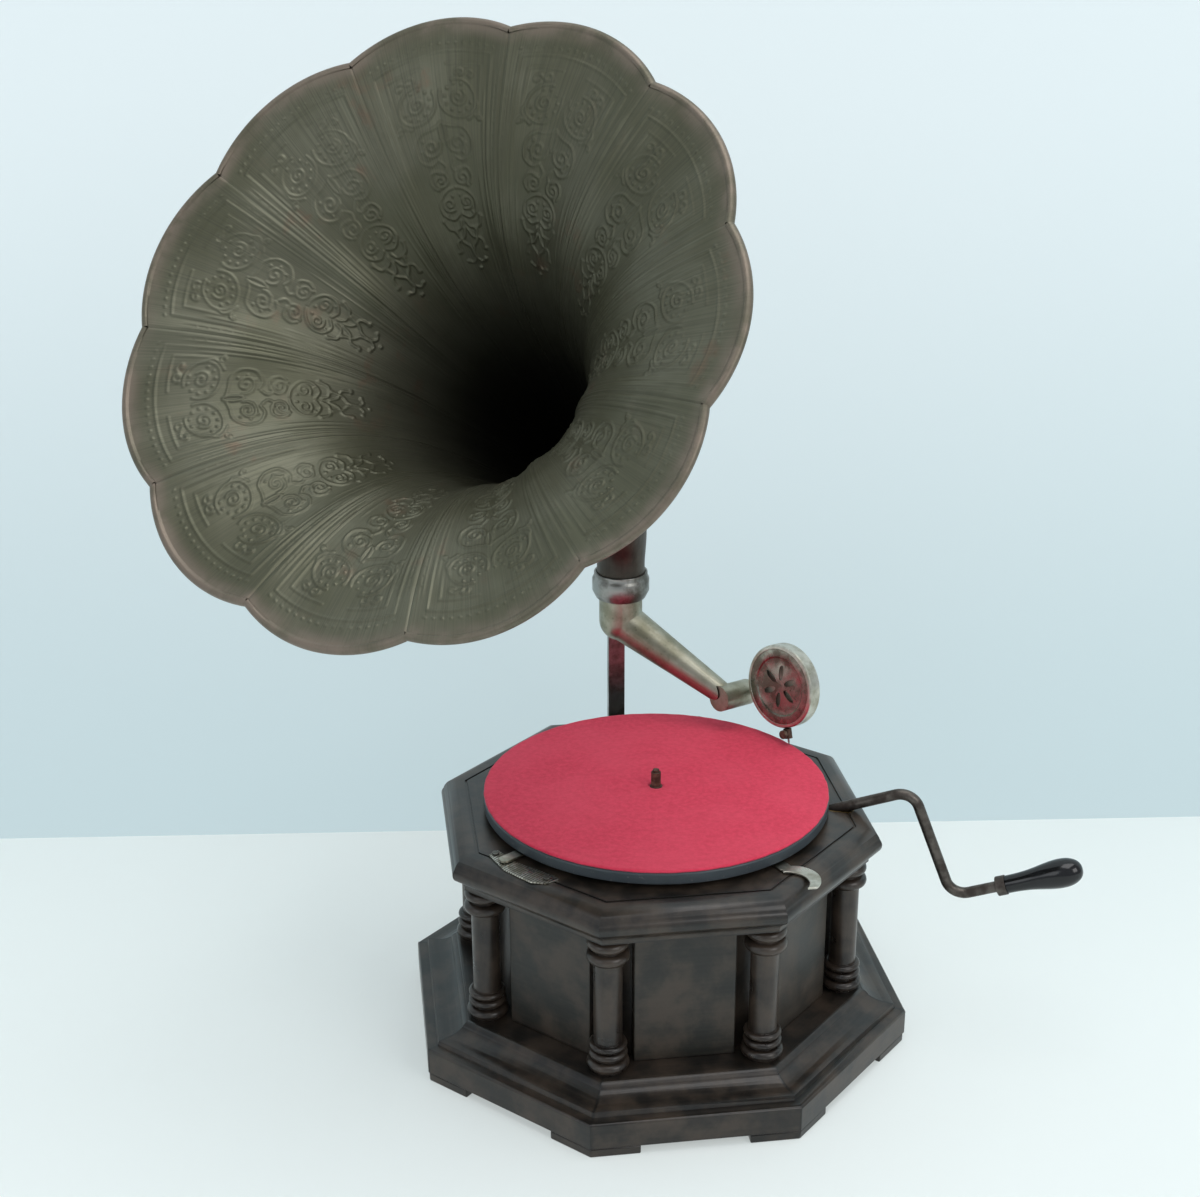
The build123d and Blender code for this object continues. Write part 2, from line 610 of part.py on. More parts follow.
def spring_barrel():
    """Barrel for the mainspring, closed at the top by the great gear."""
    to_idler = degrees(atan2(IDLER_AXIS[1] - BARREL_AXIS[1], IDLER_AXIS[0] - BARREL_AXIS[0]))
    great_gear = gear(GREAT_GEAR_TEETH, GREAT_GEAR_MODULE, GREAT_GEAR_THICKNESS, to_idler)
    barrel = Pos(BARREL_AXIS[0], BARREL_AXIS[1], GREAT_GEAR_Z) * great_gear
    barrel += disc(BARREL_RADIUS, BARREL_BOTTOM, GREAT_GEAR_Z, BARREL_AXIS)
    barrel -= disc(BARREL_RADIUS - BARREL_WALL, BARREL_BOTTOM - 1, GREAT_GEAR_Z, BARREL_AXIS)
    return barrel - disc(ARBOR_RADIUS + RUNNING, 0, BOARD_TOP, BARREL_AXIS)


def barrel_cover():
    """Lid pressed into the barrel's open lower end."""
    lid = disc(BARREL_RADIUS - BARREL_WALL, BARREL_BOTTOM, BARREL_BOTTOM + BARREL_WALL, BARREL_AXIS)
    return lid - disc(ARBOR_RADIUS + RUNNING, 0, BOARD_TOP, BARREL_AXIS)


def mainspring():
    """Flat spring strip wound in a spiral, lying against the barrel's wall."""
    steps = 24 * MAINSPRING_TURNS
    outer_radius = BARREL_RADIUS - BARREL_WALL - SEAT
    outer = []
    inner = []
    for k in range(steps + 1):
        angle = 2 * pi * MAINSPRING_TURNS * k / steps
        radius = outer_radius - MAINSPRING_PITCH * MAINSPRING_TURNS * k / steps
        outer.append((radius * cos(angle), radius * sin(angle)))
        inner.append(((radius - MAINSPRING_STRIP) * cos(angle), (radius - MAINSPRING_STRIP) * sin(angle)))
    band = extrude(Polygon(*(outer + inner[::-1]), align=None), BARREL_HEIGHT - BARREL_WALL - 2 * SEAT)
    return Pos(BARREL_AXIS[0], BARREL_AXIS[1], BARREL_BOTTOM + BARREL_WALL + SEAT) * band


def barrel_arbor():
    """Arbor that winds the spring, with a shoulder for the barrel and a core inside it."""
    top = CRANK_APEX.Z - 12
    arbor = disc(ARBOR_RADIUS, MOTOR_BASE_PLATE_Z, top, BARREL_AXIS)
    arbor += disc(ARBOR_SHOULDER_RADIUS, BASE_PLATE_UPPER + SEAT, BARREL_BOTTOM - SEAT, BARREL_AXIS)
    core_low = BARREL_BOTTOM + BARREL_WALL + SEAT
    return arbor + disc(ARBOR_SHOULDER_RADIUS, core_low, GREAT_GEAR_Z - SEAT, BARREL_AXIS)


def winding_wheel():
    """Bevel wheel on the arbor, driven by the crank's pinion."""
    plane = Plane(origin=CRANK_APEX, x_dir=(-CRANK_OUT.X, -CRANK_OUT.Y, 0), z_dir=(0, 0, -1))
    wheel = plane * bevel(BEVEL_WHEEL_TEETH, BEVEL_MODULE, WHEEL_CONE, ARBOR_RADIUS + 4, 0)
    return wheel - disc(ARBOR_RADIUS + RUNNING, 0, BOARD_TOP, BARREL_AXIS)


def crank_pinion():
    """Bevel pinion on the crank's shaft."""
    across = Vector(0, 0, -1) + CRANK_OUT * CRANK_OUT.Z
    plane = Plane(origin=CRANK_APEX, x_dir=across, z_dir=-CRANK_OUT)
    gap = 180 / BEVEL_PINION_TEETH
    pinion = plane * bevel(BEVEL_PINION_TEETH, BEVEL_MODULE, PINION_CONE, CRANK_RADIUS + 3, gap)
    return pinion - rod(CRANK_RADIUS + RUNNING, CRANK_APEX, CRANK_APEX - CRANK_OUT * 60)


def ratchet_wheel():
    """Ratchet on the arbor that keeps the spring wound."""
    outline = []
    for k in range(RATCHET_TEETH):
        angle = 2 * pi * k / RATCHET_TEETH
        outline.append((RATCHET_RADIUS * cos(angle), RATCHET_RADIUS * sin(angle)))
        low = RATCHET_RADIUS - RATCHET_DEPTH
        outline.append((low * cos(angle + 0.02), low * sin(angle + 0.02)))
    wheel = extrude(Polygon(*outline, align=None), RATCHET_THICKNESS)
    wheel = Pos(BARREL_AXIS[0], BARREL_AXIS[1], RATCHET_Z) * wheel
    return wheel - disc(ARBOR_RADIUS + RUNNING, 0, BOARD_TOP, BARREL_AXIS)


def click():
    """Click that falls between the ratchet's teeth, on its own pin."""
    reach = RATCHET_RADIUS + SEAT
    tip = (BARREL_AXIS[0] + reach * cos(CLICK_TIP_ANGLE), BARREL_AXIS[1] + reach * sin(CLICK_TIP_ANGLE))
    top = RATCHET_Z + RATCHET_THICKNESS
    side = CLICK_WIDTH / 2
    along = Vector(tip[0] - CLICK_AXIS[0], tip[1] - CLICK_AXIS[1], 0)
    across = Vector(-along.Y, along.X, 0).normalized() * side
    x, y = CLICK_AXIS
    points = [tip, (x + across.X, y + across.Y), (x - across.X, y - across.Y)]
    pawl = slab(points, RATCHET_Z, top) + disc(side, RATCHET_Z, top, CLICK_AXIS)
    return pawl + disc(CLICK_PIN_RADIUS, MOTOR_TOP_PLATE_Z, top + 1, CLICK_AXIS)


# Governor

def governor_point(y, radius=0.0):
    """Point beside the governor's axis, which runs along Y."""
    return Vector(WORM_X + radius, y, GOVERNOR_Z)


def governor_shaft():
    """Governor shaft with its worm and the fixed collar of the leaf springs."""
    pitch = pi * WORM_MODULE
    height = WORM_TURNS * pitch
    depth = 1.2 * WORM_MODULE
    foot, crest = tooth_widths(WORM_MODULE)
    core = WORM_RADIUS - depth
    sunk = core - 0.3
    tip = WORM_RADIUS + 0.8 * WORM_MODULE
    tooth = [(sunk, -foot), (tip, -crest), (tip, crest), (sunk, foot)]
    path = Helix(pitch=pitch, height=height, radius=WORM_RADIUS)
    thread = sweep(Plane.XZ * make_face(Polyline(*tooth, close=True)), path=path, is_frenet=True)
    worm = Cylinder(core, height + pitch, align=STANDING)
    worm = Pos(0, 0, -pitch / 2) * worm + thread
    plane = Plane(origin=governor_point(-height / 2 + pitch / 2), x_dir=(1, 0, 0), z_dir=(0, 1, 0))
    ends = sorted(GOVERNOR_BEARING_Y)
    shaft = rod(GOVERNOR_SHAFT_RADIUS, governor_point(ends[0] - 3), governor_point(ends[1] + 3))
    shaft += plane * worm
    return shaft + rod(6.5, governor_point(GOVERNOR_COLLAR_Y - 4), governor_point(GOVERNOR_COLLAR_Y))


def governor_disc():
    """Sliding disc that the regulator's pad rubs on."""
    plate = rod(GOVERNOR_DISC_RADIUS, governor_point(GOVERNOR_DISC_Y - 2), governor_point(GOVERNOR_DISC_Y))
    plate += rod(6.5, governor_point(GOVERNOR_DISC_Y), governor_point(GOVERNOR_DISC_Y + 4))
    return plate - rod(GOVERNOR_SHAFT_RADIUS + RUNNING, governor_point(-90), governor_point(30))


def governor_weights():
    """Three leaf springs, each with a round weight on its middle."""
    start = GOVERNOR_COLLAR_Y
    end = GOVERNOR_DISC_Y + 4
    middle = (start + end) / 2
    crown = GOVERNOR_BALL_CIRCLE - 3
    upper = [(start, 7.1), (middle + 4, crown + 0.5), (middle - 4, crown + 0.5), (end, 7.1)]
    lower = [(y, z - GOVERNOR_LEAF) for y, z in reversed(upper)]
    leaf = extrude(Plane.YZ * make_face(Polyline(*(upper + lower), close=True)), 2.5, both=True)
    ball = Pos(0, middle, GOVERNOR_BALL_CIRCLE) * Sphere(GOVERNOR_BALL_RADIUS)
    ball &= Pos(0, middle, crown + 0.5) * Box(20, 20, 20, align=STANDING)
    pieces = []
    for k in range(3):
        turn = Pos(WORM_X, 0, GOVERNOR_Z) * Rot(0, 120 * k, 0)
        pieces += [turn * leaf, turn * ball]
    return pieces


def governor_bearings():
    """Two posts on the lower plate that hold the governor's shaft."""
    posts = []
    for y in GOVERNOR_BEARING_Y:
        height = GOVERNOR_Z + 5 - BASE_PLATE_UPPER
        post = Pos(WORM_X, y, BASE_PLATE_UPPER) * Box(8, GOVERNOR_POST_THICKNESS, height, align=STANDING)
        bore = rod(GOVERNOR_SHAFT_RADIUS + RUNNING, governor_point(y - 9), governor_point(y + 9))
        posts.append(post - bore)
    return posts


# Turntable

def platter():
    """Pressed platter with a turned-down rim and a hub on the spindle's flange."""
    hole = SPINDLE_SHAFT_RADIUS + RUNNING
    skin = PLATTER_TOP - PLATTER_SKIN
    inside = PLATTER_RADIUS - PLATTER_RIM
    points = [(hole, PLATTER_BOTTOM), (PLATTER_HUB_RADIUS, PLATTER_BOTTOM), (PLATTER_HUB_RADIUS, skin)]
    points += [(inside, skin), (inside, PLATTER_BOTTOM), (PLATTER_RADIUS, PLATTER_BOTTOM)]
    points += [(PLATTER_RADIUS, PLATTER_TOP - 1), (PLATTER_RADIUS - 1, PLATTER_TOP), (hole, PLATTER_TOP)]
    return turned(points)


def felt():
    """Felt disc on the platter."""
    top = PLATTER_TOP + FELT_THICKNESS
    cloth = disc(PLATTER_RADIUS - 0.2, PLATTER_TOP, top)
    return cloth - disc(SPINDLE_SHAFT_RADIUS + SEAT, PLATTER_TOP - 1, top + 1)


# Crank

def crank_frame():
    """Directions of the crank: outwards along the shaft, and down along the arm."""
    down = Vector(0, 0, -1) + CRANK_OUT * CRANK_OUT.Z
    return CRANK_OUT, down.normalized()


def crank_rod():
    """Bent round bar: shaft, arm and the grip's spindle."""
    out, down = crank_frame()
    start = crank_point(-CRANK_END_DEPTH - 2.5)
    first = crank_point(CRANK_SHAFT_OUT)
    second = first + down * CRANK_ARM_LENGTH
    end = second + out * (CRANK_GRIP_OFFSET - 2)
    path = FilletPolyline(start, first, second, end, radius=CRANK_BEND_RADIUS)
    section = Plane(origin=start, z_dir=out) * Circle(CRANK_RADIUS)
    return sweep(section, path=path)


def grip_point(back):
    """Point on the grip's axis, measured back from its outer end."""
    out, down = crank_frame()
    corner = crank_point(CRANK_SHAFT_OUT) + down * CRANK_ARM_LENGTH
    return corner + out * (CRANK_GRIP_OFFSET - back)


def grip_frame():
    """Frame of the grip: its Z runs outwards from the grip's inner end."""
    out, down = crank_frame()
    return Plane(origin=grip_point(HANDLE_LENGTH), x_dir=down, z_dir=out)


def crank_handle():
    """Turned wooden grip, slim at the ferrule and full near its end, hollow for the bar."""
    hole = CRANK_RADIUS + RUNNING
    length = HANDLE_LENGTH
    bottom = length - 2 + SEAT
    outline = Spline(
        (HANDLE_NECK_RADIUS, FERRULE_LENGTH),
        (HANDLE_NECK_RADIUS + 1.2, 0.42 * length),
        (HANDLE_RADIUS, 0.72 * length),
        (HANDLE_RADIUS - 2.2, 0.92 * length),
        (0.5, length),
        tangents=[(0, 1), (-1, 0)],
    )
    inner = [(hole, bottom), (hole, FERRULE_LENGTH), (HANDLE_NECK_RADIUS, FERRULE_LENGTH)]
    lines = Polyline((0.5, length), (0, length), (0, bottom), *inner)
    return grip_frame() * revolve(Plane.XZ * make_face(Curve() + [outline, lines]), Axis.Z)


def handle_ferrule():
    """Ring at the grip's inner end."""
    hole = CRANK_RADIUS + RUNNING
    ring = [(hole, 0), (FERRULE_RADIUS, 0), (FERRULE_RADIUS, FERRULE_LENGTH), (hole, FERRULE_LENGTH)]
    return grip_frame() * turned(ring)


def crank_bush():
    """Slanted lining of the crank's hole, cut level with the board's top and underside."""
    outer = CRANK_RADIUS + CRANK_BUSH_WALL
    bush = rod(outer, crank_point(12), crank_point(-CRANK_HOLE_DEPTH))
    bush -= rod(CRANK_RADIUS + RUNNING, crank_point(13), crank_point(-CRANK_HOLE_DEPTH - 1))
    return bush & octagon(BOARD_APOTHEM, BOARD_UNDERSIDE, BOARD_TOP)


# Levers on the board

LEVER_Z = BOARD_TOP + LEVER_LIFT


def brake_lever():
    """Brake lever with its pivot post and the pad that stops the platter's rim."""
    top = LEVER_Z + LEVER_THICKNESS
    lever = strip(BRAKE_PIVOT, BRAKE_NECK, BRAKE_WIDTH, LEVER_Z, top)
    outer = ThreePointArc((71.0, -109.5), (91.5, -121.0), (87.0, -140.5))
    inner = ThreePointArc((80.5, -140.5), (82.5, -125.5), (69.0, -117.0))
    ends = [Line(outer @ 1, inner @ 0), Line(inner @ 1, outer @ 0)]
    sickle = make_face(Curve() + [outer, inner, *ends])
    lever += Pos(0, 0, LEVER_Z) * extrude(sickle, LEVER_THICKNESS, dir=(0, 0, 1))
    lever += disc(BRAKE_POST_RADIUS, BOARD_TOP - BRAKE_POST_DEPTH, top, BRAKE_PIVOT)
    pivot = Vector(BRAKE_PIVOT[0], BRAKE_PIVOT[1], top)
    along = Vector(BRAKE_NECK[0] - BRAKE_PIVOT[0], BRAKE_NECK[1] - BRAKE_PIVOT[1], 0).normalized()
    pad = Box(6, 8, BRAKE_PAD_HEIGHT, align=STANDING)
    return lever + Plane(origin=pivot + along * BRAKE_PAD_REACH, x_dir=along) * pad


def speed_lever():
    """Regulator lever on the board, its rod and the friction arm beside the governor's disc."""
    low = LEVER_Z + SPEED_PLATE_THICKNESS
    top = low + LEVER_THICKNESS
    arm_low = GOVERNOR_Z - FRICTION_ARM_WIDTH / 2
    arm_high = GOVERNOR_Z + FRICTION_ARM_WIDTH / 2
    lever = strip(SPEED_PIVOT, SPEED_TIP, SPEED_LEVER_WIDTH, low, top)
    lever += disc(SPEED_ROD_RADIUS, arm_low, top, SPEED_PIVOT)
    pad = (WORM_X - GOVERNOR_DISC_RADIUS + 4, GOVERNOR_DISC_Y - FRICTION_ARM_GAP)
    return lever + strip(SPEED_PIVOT, pad, FRICTION_ARM_WIDTH, arm_low, arm_high)


def speed_plate():
    """Scale plate of the regulator, screwed to the board."""
    plate = slab(SPEED_PLATE_POINTS, BOARD_TOP, BOARD_TOP + SPEED_PLATE_THICKNESS)
    for place in SPEED_PLATE_SCREWS:
        plate -= disc(SPEED_PLATE_SCREW_RADIUS + RUNNING, BOARD_TOP - 1, BOARD_TOP + 5, place)
    return plate


def speed_plate_screws():
    """Small round-headed screws of the scale plate."""
    top = BOARD_TOP + SPEED_PLATE_THICKNESS
    screws = []
    for place in SPEED_PLATE_SCREWS:
        shank = disc(SPEED_PLATE_SCREW_RADIUS, BOARD_TOP, top, place)
        screws.append(shank + disc(SPEED_PLATE_SCREW_HEAD, top, top + 1.2, place))
    return screws


# Bracket and collar

def back_bracket():
    """Cast bracket: a foot on the back panel, a jog round the board and an upright to the collar."""
    front = BRACKET_FRONT_Y
    back = front + BRACKET_THICKNESS
    foot_low, foot_high = BRACKET_FOOT_Z
    panel = PANEL_APOTHEM
    collar_back = PIVOT.Y + COLLAR_RADIUS - 3
    top = COLLAR_BOTTOM + 16
    rear = [(panel, foot_low + 8), (panel + 12, foot_low + 8), (back, foot_high + 6), (back, top - 8)]
    head = [(back - 8, top), (collar_back, top), (collar_back, top - 11), (front - 3, top - 11)]
    face = [(front, top - 15), (front, foot_high + 12), (panel, foot_high - 8)]
    side = Plane.YZ * make_face(Polyline(*(rear + head + face), close=True))
    web = Pos(PIVOT.X, 0, 0) * extrude(side, BRACKET_WIDTH / 2, both=True)
    on_panel = (Align.CENTER, Align.MIN, Align.MIN)
    foot = Box(BRACKET_FOOT_WIDTH, BRACKET_FOOT_THICKNESS, foot_high - foot_low, align=on_panel)
    foot = Pos(PIVOT.X, panel, foot_low) * foot
    bracket = web + foot
    bracket -= Pos(PIVOT.X, PIVOT.Y, 0) * collar_blank()
    for x, z in bracket_screw_places():
        bracket -= rod(BRACKET_SCREW_RADIUS + RUNNING, Vector(x, panel - 1, z), Vector(x, panel + 20, z))
    return bracket


def bracket_screw_places():
    """Corners of the bracket's foot that take its screws."""
    side = BRACKET_FOOT_WIDTH / 2 - 7
    low, high = BRACKET_FOOT_Z
    return [(PIVOT.X + s * side, z) for s in (-1, 1) for z in (low + 7, high - 7)]


def bracket_screws():
    """Screws through the bracket's foot into the back panel."""
    head = PANEL_APOTHEM + BRACKET_FOOT_THICKNESS
    screws = []
    for x, z in bracket_screw_places():
        shank = rod(BRACKET_SCREW_RADIUS, Vector(x, PANEL_APOTHEM, z), Vector(x, head, z))
        screws.append(shank + rod(BRACKET_SCREW_HEAD_RADIUS, Vector(x, head, z), Vector(x, head + 2, z)))
    return screws


def collar_blank():
    """Outside of the collar, about the origin."""
    low = COLLAR_BOTTOM
    high = COLLAR_BOTTOM + COLLAR_HEIGHT
    side = [(COLLAR_BOTTOM_RADIUS, low), (COLLAR_RADIUS, low + 6), (COLLAR_RADIUS, high - 6)]
    return turned([(0, low)] + side + [(COLLAR_LIP_RADIUS, high - 3), (COLLAR_LIP_RADIUS, high), (0, high)])


def horn_collar():
    """Collar that the arm hangs in and the horn's neck stands in."""
    collar = collar_blank()
    collar -= disc(ARM_RADIUS + RUNNING, COLLAR_BOTTOM - 1, COLLAR_BOTTOM + COLLAR_HEIGHT + 1)
    collar -= disc(ARM_FLANGE_RADIUS + RUNNING, ARM_SEAT_Z, COLLAR_BOTTOM + COLLAR_HEIGHT + 1)
    collar -= disc(NECK_RADIUS + RUNNING, NECK_BOTTOM - 0.1, COLLAR_BOTTOM + COLLAR_HEIGHT + 1)
    return Pos(PIVOT.X, PIVOT.Y, 0) * collar


ARM_SEAT_Z = COLLAR_BOTTOM + 4.0
ARM_TOP = ARM_SEAT_Z + 0.1 + ARM_FLANGE_HEIGHT

# Tone arm and soundbox

OUTWARD = direction(SOUNDBOX_AZIMUTH, SOUNDBOX_TILT)
ARM_JOIN = CROSSPIECE_END - OUTWARD * CROSSPIECE_JOIN
ARM_ELBOW = PIVOT + Vector(0, 0, ARM_ELBOW_Z)


def arm_run(radius, bore_radius, end_radius, length_past=0.0):
    """Upright, rounded elbow and tapered run of the arm, or of its bore."""
    top = PIVOT + Vector(0, 0, ARM_TOP + length_past)
    shape = rod(radius, ARM_ELBOW, top) + Pos(ARM_ELBOW.X, ARM_ELBOW.Y, ARM_ELBOW.Z) * Sphere(radius)
    return shape + rod(bore_radius, ARM_ELBOW, ARM_JOIN, end_radius)


def tonearm():
    """Hollow arm from the collar to the crosspiece."""
    arm = arm_run(ARM_RADIUS, ARM_ROOT_RADIUS, ARM_END_RADIUS)
    arm += disc(ARM_FLANGE_RADIUS, ARM_TOP - ARM_FLANGE_HEIGHT, ARM_TOP, (PIVOT.X, PIVOT.Y))
    arm -= arm_run(ARM_BORE, ARM_ROOT_RADIUS - ARM_WALL, ARM_END_RADIUS - ARM_WALL, 1.0)
    return arm - crosspiece_blank(CROSSPIECE_RADIUS, -1, CROSSPIECE_LENGTH + 1)


def crosspiece_blank(radius, start, end):
    """Round bar along the crosspiece's axis, measured back from its closed end."""
    return rod(radius, CROSSPIECE_END - OUTWARD * start, CROSSPIECE_END - OUTWARD * end)


def crosspiece():
    """Tube across the arm's end, closed in front and open to the gooseneck behind."""
    tube = crosspiece_blank(CROSSPIECE_RADIUS, 0, CROSSPIECE_LENGTH)
    tube -= crosspiece_blank(TENON_RADIUS + RUNNING, CROSSPIECE_CAP, CROSSPIECE_LENGTH + 1)
    return tube - rod(ARM_ROOT_RADIUS - ARM_WALL, ARM_ELBOW, ARM_JOIN, ARM_END_RADIUS - ARM_WALL)


def gooseneck():
    """Tube that turns in the crosspiece and bends back to the soundbox."""
    apart = SOUNDBOX_CENTRE - CROSSPIECE_END
    behind = -apart.dot(OUTWARD)
    across = apart + OUTWARD * behind
    side = across.normalized()
    plane = Plane(origin=CROSSPIECE_END - OUTWARD * GOOSENECK_REACH, x_dir=side, z_dir=OUTWARD)
    spacing = across.length
    box_end = GOOSENECK_REACH - behind - SOUNDBOX_THICKNESS - SOUNDBOX_BOSS_HEIGHT

    def bend(radius):
        """Half turn of a round section between the two straight ends."""
        turn_axis = Axis((spacing / 2, 0, 0), (0, -1, 0))
        return revolve(Circle(radius), turn_axis, 180)

    outer = bend(GOOSENECK_RADIUS)
    outer += Cylinder(GOOSENECK_RADIUS, GOOSENECK_REACH - CROSSPIECE_LENGTH - SEAT, align=STANDING)
    outer += Cylinder(TENON_RADIUS, GOOSENECK_REACH - CROSSPIECE_LENGTH + TENON_LENGTH, align=STANDING)
    outer += Pos(spacing, 0, 0) * Cylinder(GOOSENECK_RADIUS, box_end, align=STANDING)
    outer -= bend(GOOSENECK_BORE)
    outer -= Cylinder(GOOSENECK_BORE, GOOSENECK_REACH, align=STANDING)
    outer -= Pos(spacing, 0, 0) * Cylinder(GOOSENECK_BORE, box_end + 1, align=STANDING)
    return plane * outer


def soundbox_frame(lean=0.0):
    """Frame of the soundbox: X to the right, Y up and Z out of its face, turned by a lean."""
    right = Vector(0, 0, 1).cross(OUTWARD).normalized()
    plane = Plane(origin=SOUNDBOX_CENTRE, x_dir=right, z_dir=OUTWARD)
    return plane.location * Rot(0, 0, lean)


def soundbox_case():
    """Cup of the soundbox with a boss behind, a ledge for the diaphragm and a gap for the bar."""
    back = -SOUNDBOX_THICKNESS
    inside = SOUNDBOX_RADIUS - SOUNDBOX_RIM
    ledge = DIAPHRAGM_Z - 0.2
    boss = back - SOUNDBOX_BOSS_HEIGHT
    outer = SOUNDBOX_RADIUS
    points = [(GOOSENECK_BORE, boss), (SOUNDBOX_BOSS_RADIUS, boss), (SOUNDBOX_BOSS_RADIUS, back)]
    points += [(outer - 1, back), (outer, back + 1), (outer, -1), (outer - 1, 0), (inside, 0)]
    points += [(inside, ledge), (inside - 2, ledge), (inside - 2, back + SOUNDBOX_BACK)]
    points += [(GOOSENECK_BORE, back + SOUNDBOX_BACK)]
    gap = Pos(0, -SOUNDBOX_RADIUS, CHUCK_Z) * Box(8, 12, 4.4)
    return [soundbox_frame() * turned(points) - soundbox_frame(NEEDLE_LEAN) * gap]


def soundbox_face():
    """Slotted disc on the front: a flat ring round a slightly sunk middle."""
    radius = SOUNDBOX_RADIUS - SOUNDBOX_RIM - 0.1
    ring = radius - FACE_RING
    top = -0.3
    back = top - FACE_THICKNESS
    sunk = top - FACE_DISH
    face = turned([(0, back), (radius, back), (radius, top), (ring, top), (ring - 1, sunk), (0, sunk)])
    length = FACE_SLOT_OUTER - FACE_SLOT_INNER
    middle = (FACE_SLOT_OUTER + FACE_SLOT_INNER) / 2
    outline = Ellipse(length / 2, FACE_SLOT_WIDTH / 2)
    slot = Pos(middle, 0, back - 1) * extrude(outline, 2 * FACE_THICKNESS + 2)
    for copy in around(slot, FACE_SLOTS, 30):
        face -= copy
    return soundbox_frame() * face


def diaphragm():
    """Thin disc clamped inside the soundbox."""
    radius = SOUNDBOX_RADIUS - SOUNDBOX_RIM - 0.1
    return soundbox_frame() * disc(radius, DIAPHRAGM_Z, DIAPHRAGM_Z + DIAPHRAGM_THICKNESS)


def chuck_point(reach):
    """Point on the needle's line, measured from the soundbox's middle."""
    return Vector(0, -reach, CHUCK_Z)


def stylus_bar():
    """Bar from the diaphragm's middle, over its pivot in the rim, to the needle's chuck."""
    low = DIAPHRAGM_Z + DIAPHRAGM_THICKNESS
    bar = Pos(0, -CHUCK_START / 2, CHUCK_Z) * Box(4, CHUCK_START + 4, 1.2)
    bar += disc(1.5, low + SEAT, CHUCK_Z)
    bar += rod(STYLUS_PIVOT_RADIUS, Vector(-2, -STYLUS_PIVOT, CHUCK_Z), Vector(2, -STYLUS_PIVOT, CHUCK_Z))
    bar += rod(CHUCK_RADIUS, chuck_point(CHUCK_START), chuck_point(CHUCK_END))
    bar -= rod(NEEDLE_RADIUS + RUNNING, chuck_point(NEEDLE_START), chuck_point(CHUCK_END + 1))
    bar -= Pos(0, -SCREW_REACH, 0) * disc(NEEDLE_SCREW_RADIUS + RUNNING, CHUCK_Z, 6)
    return soundbox_frame(NEEDLE_LEAN) * bar


def needle():
    """Steel needle with a ground point."""
    taper = NEEDLE_REACH - 3
    stem = rod(NEEDLE_RADIUS, chuck_point(NEEDLE_START), chuck_point(taper))
    point = rod(NEEDLE_RADIUS, chuck_point(taper), chuck_point(NEEDLE_REACH), 0.1)
    return soundbox_frame(NEEDLE_LEAN) * (stem + point)


def needle_screw():
    """Thumbscrew that holds the needle, with two flats to turn it by."""
    head_low = CHUCK_Z + CHUCK_RADIUS + 0.6
    stem = disc(NEEDLE_SCREW_RADIUS, CHUCK_Z + NEEDLE_RADIUS + 0.2, head_low + 0.5)
    head = disc(NEEDLE_SCREW_HEAD_RADIUS, head_low, head_low + NEEDLE_SCREW_HEAD_HEIGHT)
    return soundbox_frame(NEEDLE_LEAN) * Pos(0, -SCREW_REACH, 0) * (stem + head)


# Horn

HORN_OUT = direction(HORN_AZIMUTH, HORN_ELEVATION)
HORN_PLANE = Plane(origin=MOUTH_CENTRE, x_dir=Vector(0, 0, 1).cross(HORN_OUT), z_dir=HORN_OUT)


def flare(depth):
    """Radius of the horn's inside along a seam, at a depth behind the mouth."""
    fade = 1 - (depth / PETAL_LENGTH) ** 2
    return FLARE_SCALE / (depth + FLARE_OFFSET) + FLARE_FLOOR * fade


def petal_section(depth, half_angle):
    """Slice of a petal's wall across the horn's axis."""
    step = 0.01
    slope = (flare(depth) - flare(depth + step)) / step
    wall = PETAL_WALL * sqrt(1 + slope ** 2)
    radius = flare(depth)
    lobe = LOBE_HEIGHT * (radius / SEAM_RADIUS) ** 1.2

    def arc(r):
        """Arc of the slice at a seam radius, bulging at the petal's middle."""
        x, y = r * cos(half_angle), r * sin(half_angle)
        return ThreePointArc((x, -y), (r + lobe, 0), (x, y))

    inner = arc(radius)
    outer = arc(radius + wall)
    section = make_face(Curve() + [inner, outer, Line(inner @ 0, outer @ 0), Line(inner @ 1, outer @ 1)])
    return Pos(0, 0, -depth) * section


def petal():
    """One petal of the horn, with a rolled bead along its lobed rim, about the mouth's centre."""
    half = pi / PETALS
    wide = half * 1.03
    shell = loft([petal_section(depth, wide) for depth in PETAL_STATIONS])
    seam = SEAM_RADIUS - BEAD_RADIUS
    x, y = seam * cos(half), seam * sin(half)
    rim = ThreePointArc((x, -y), (seam + LOBE_HEIGHT, 0), (x, y))
    section = Plane(origin=rim @ 0, z_dir=rim % 0) * Circle(BEAD_RADIUS)
    bead = sweep(section, path=rim)
    shell += Pos(0, 0, -BEAD_RADIUS) * bead
    reach = SEAM_RADIUS + 60
    gap = SEAM_GAP / 2 / sin(half)
    far_x, far_y = gap + reach * cos(half), reach * sin(half)
    return shell & slab([(gap, 0), (far_x, far_y), (far_x, -far_y)], -PETAL_LENGTH - 1, 5)


def petals():
    """The petals in their places, counted round the mouth from the first seam."""
    one = petal()
    step = 360 / PETALS
    turn = degrees(FIRST_SEAM) + step / 2
    return [HORN_PLANE * Rot(0, 0, turn + step * k) * one for k in range(PETALS)]


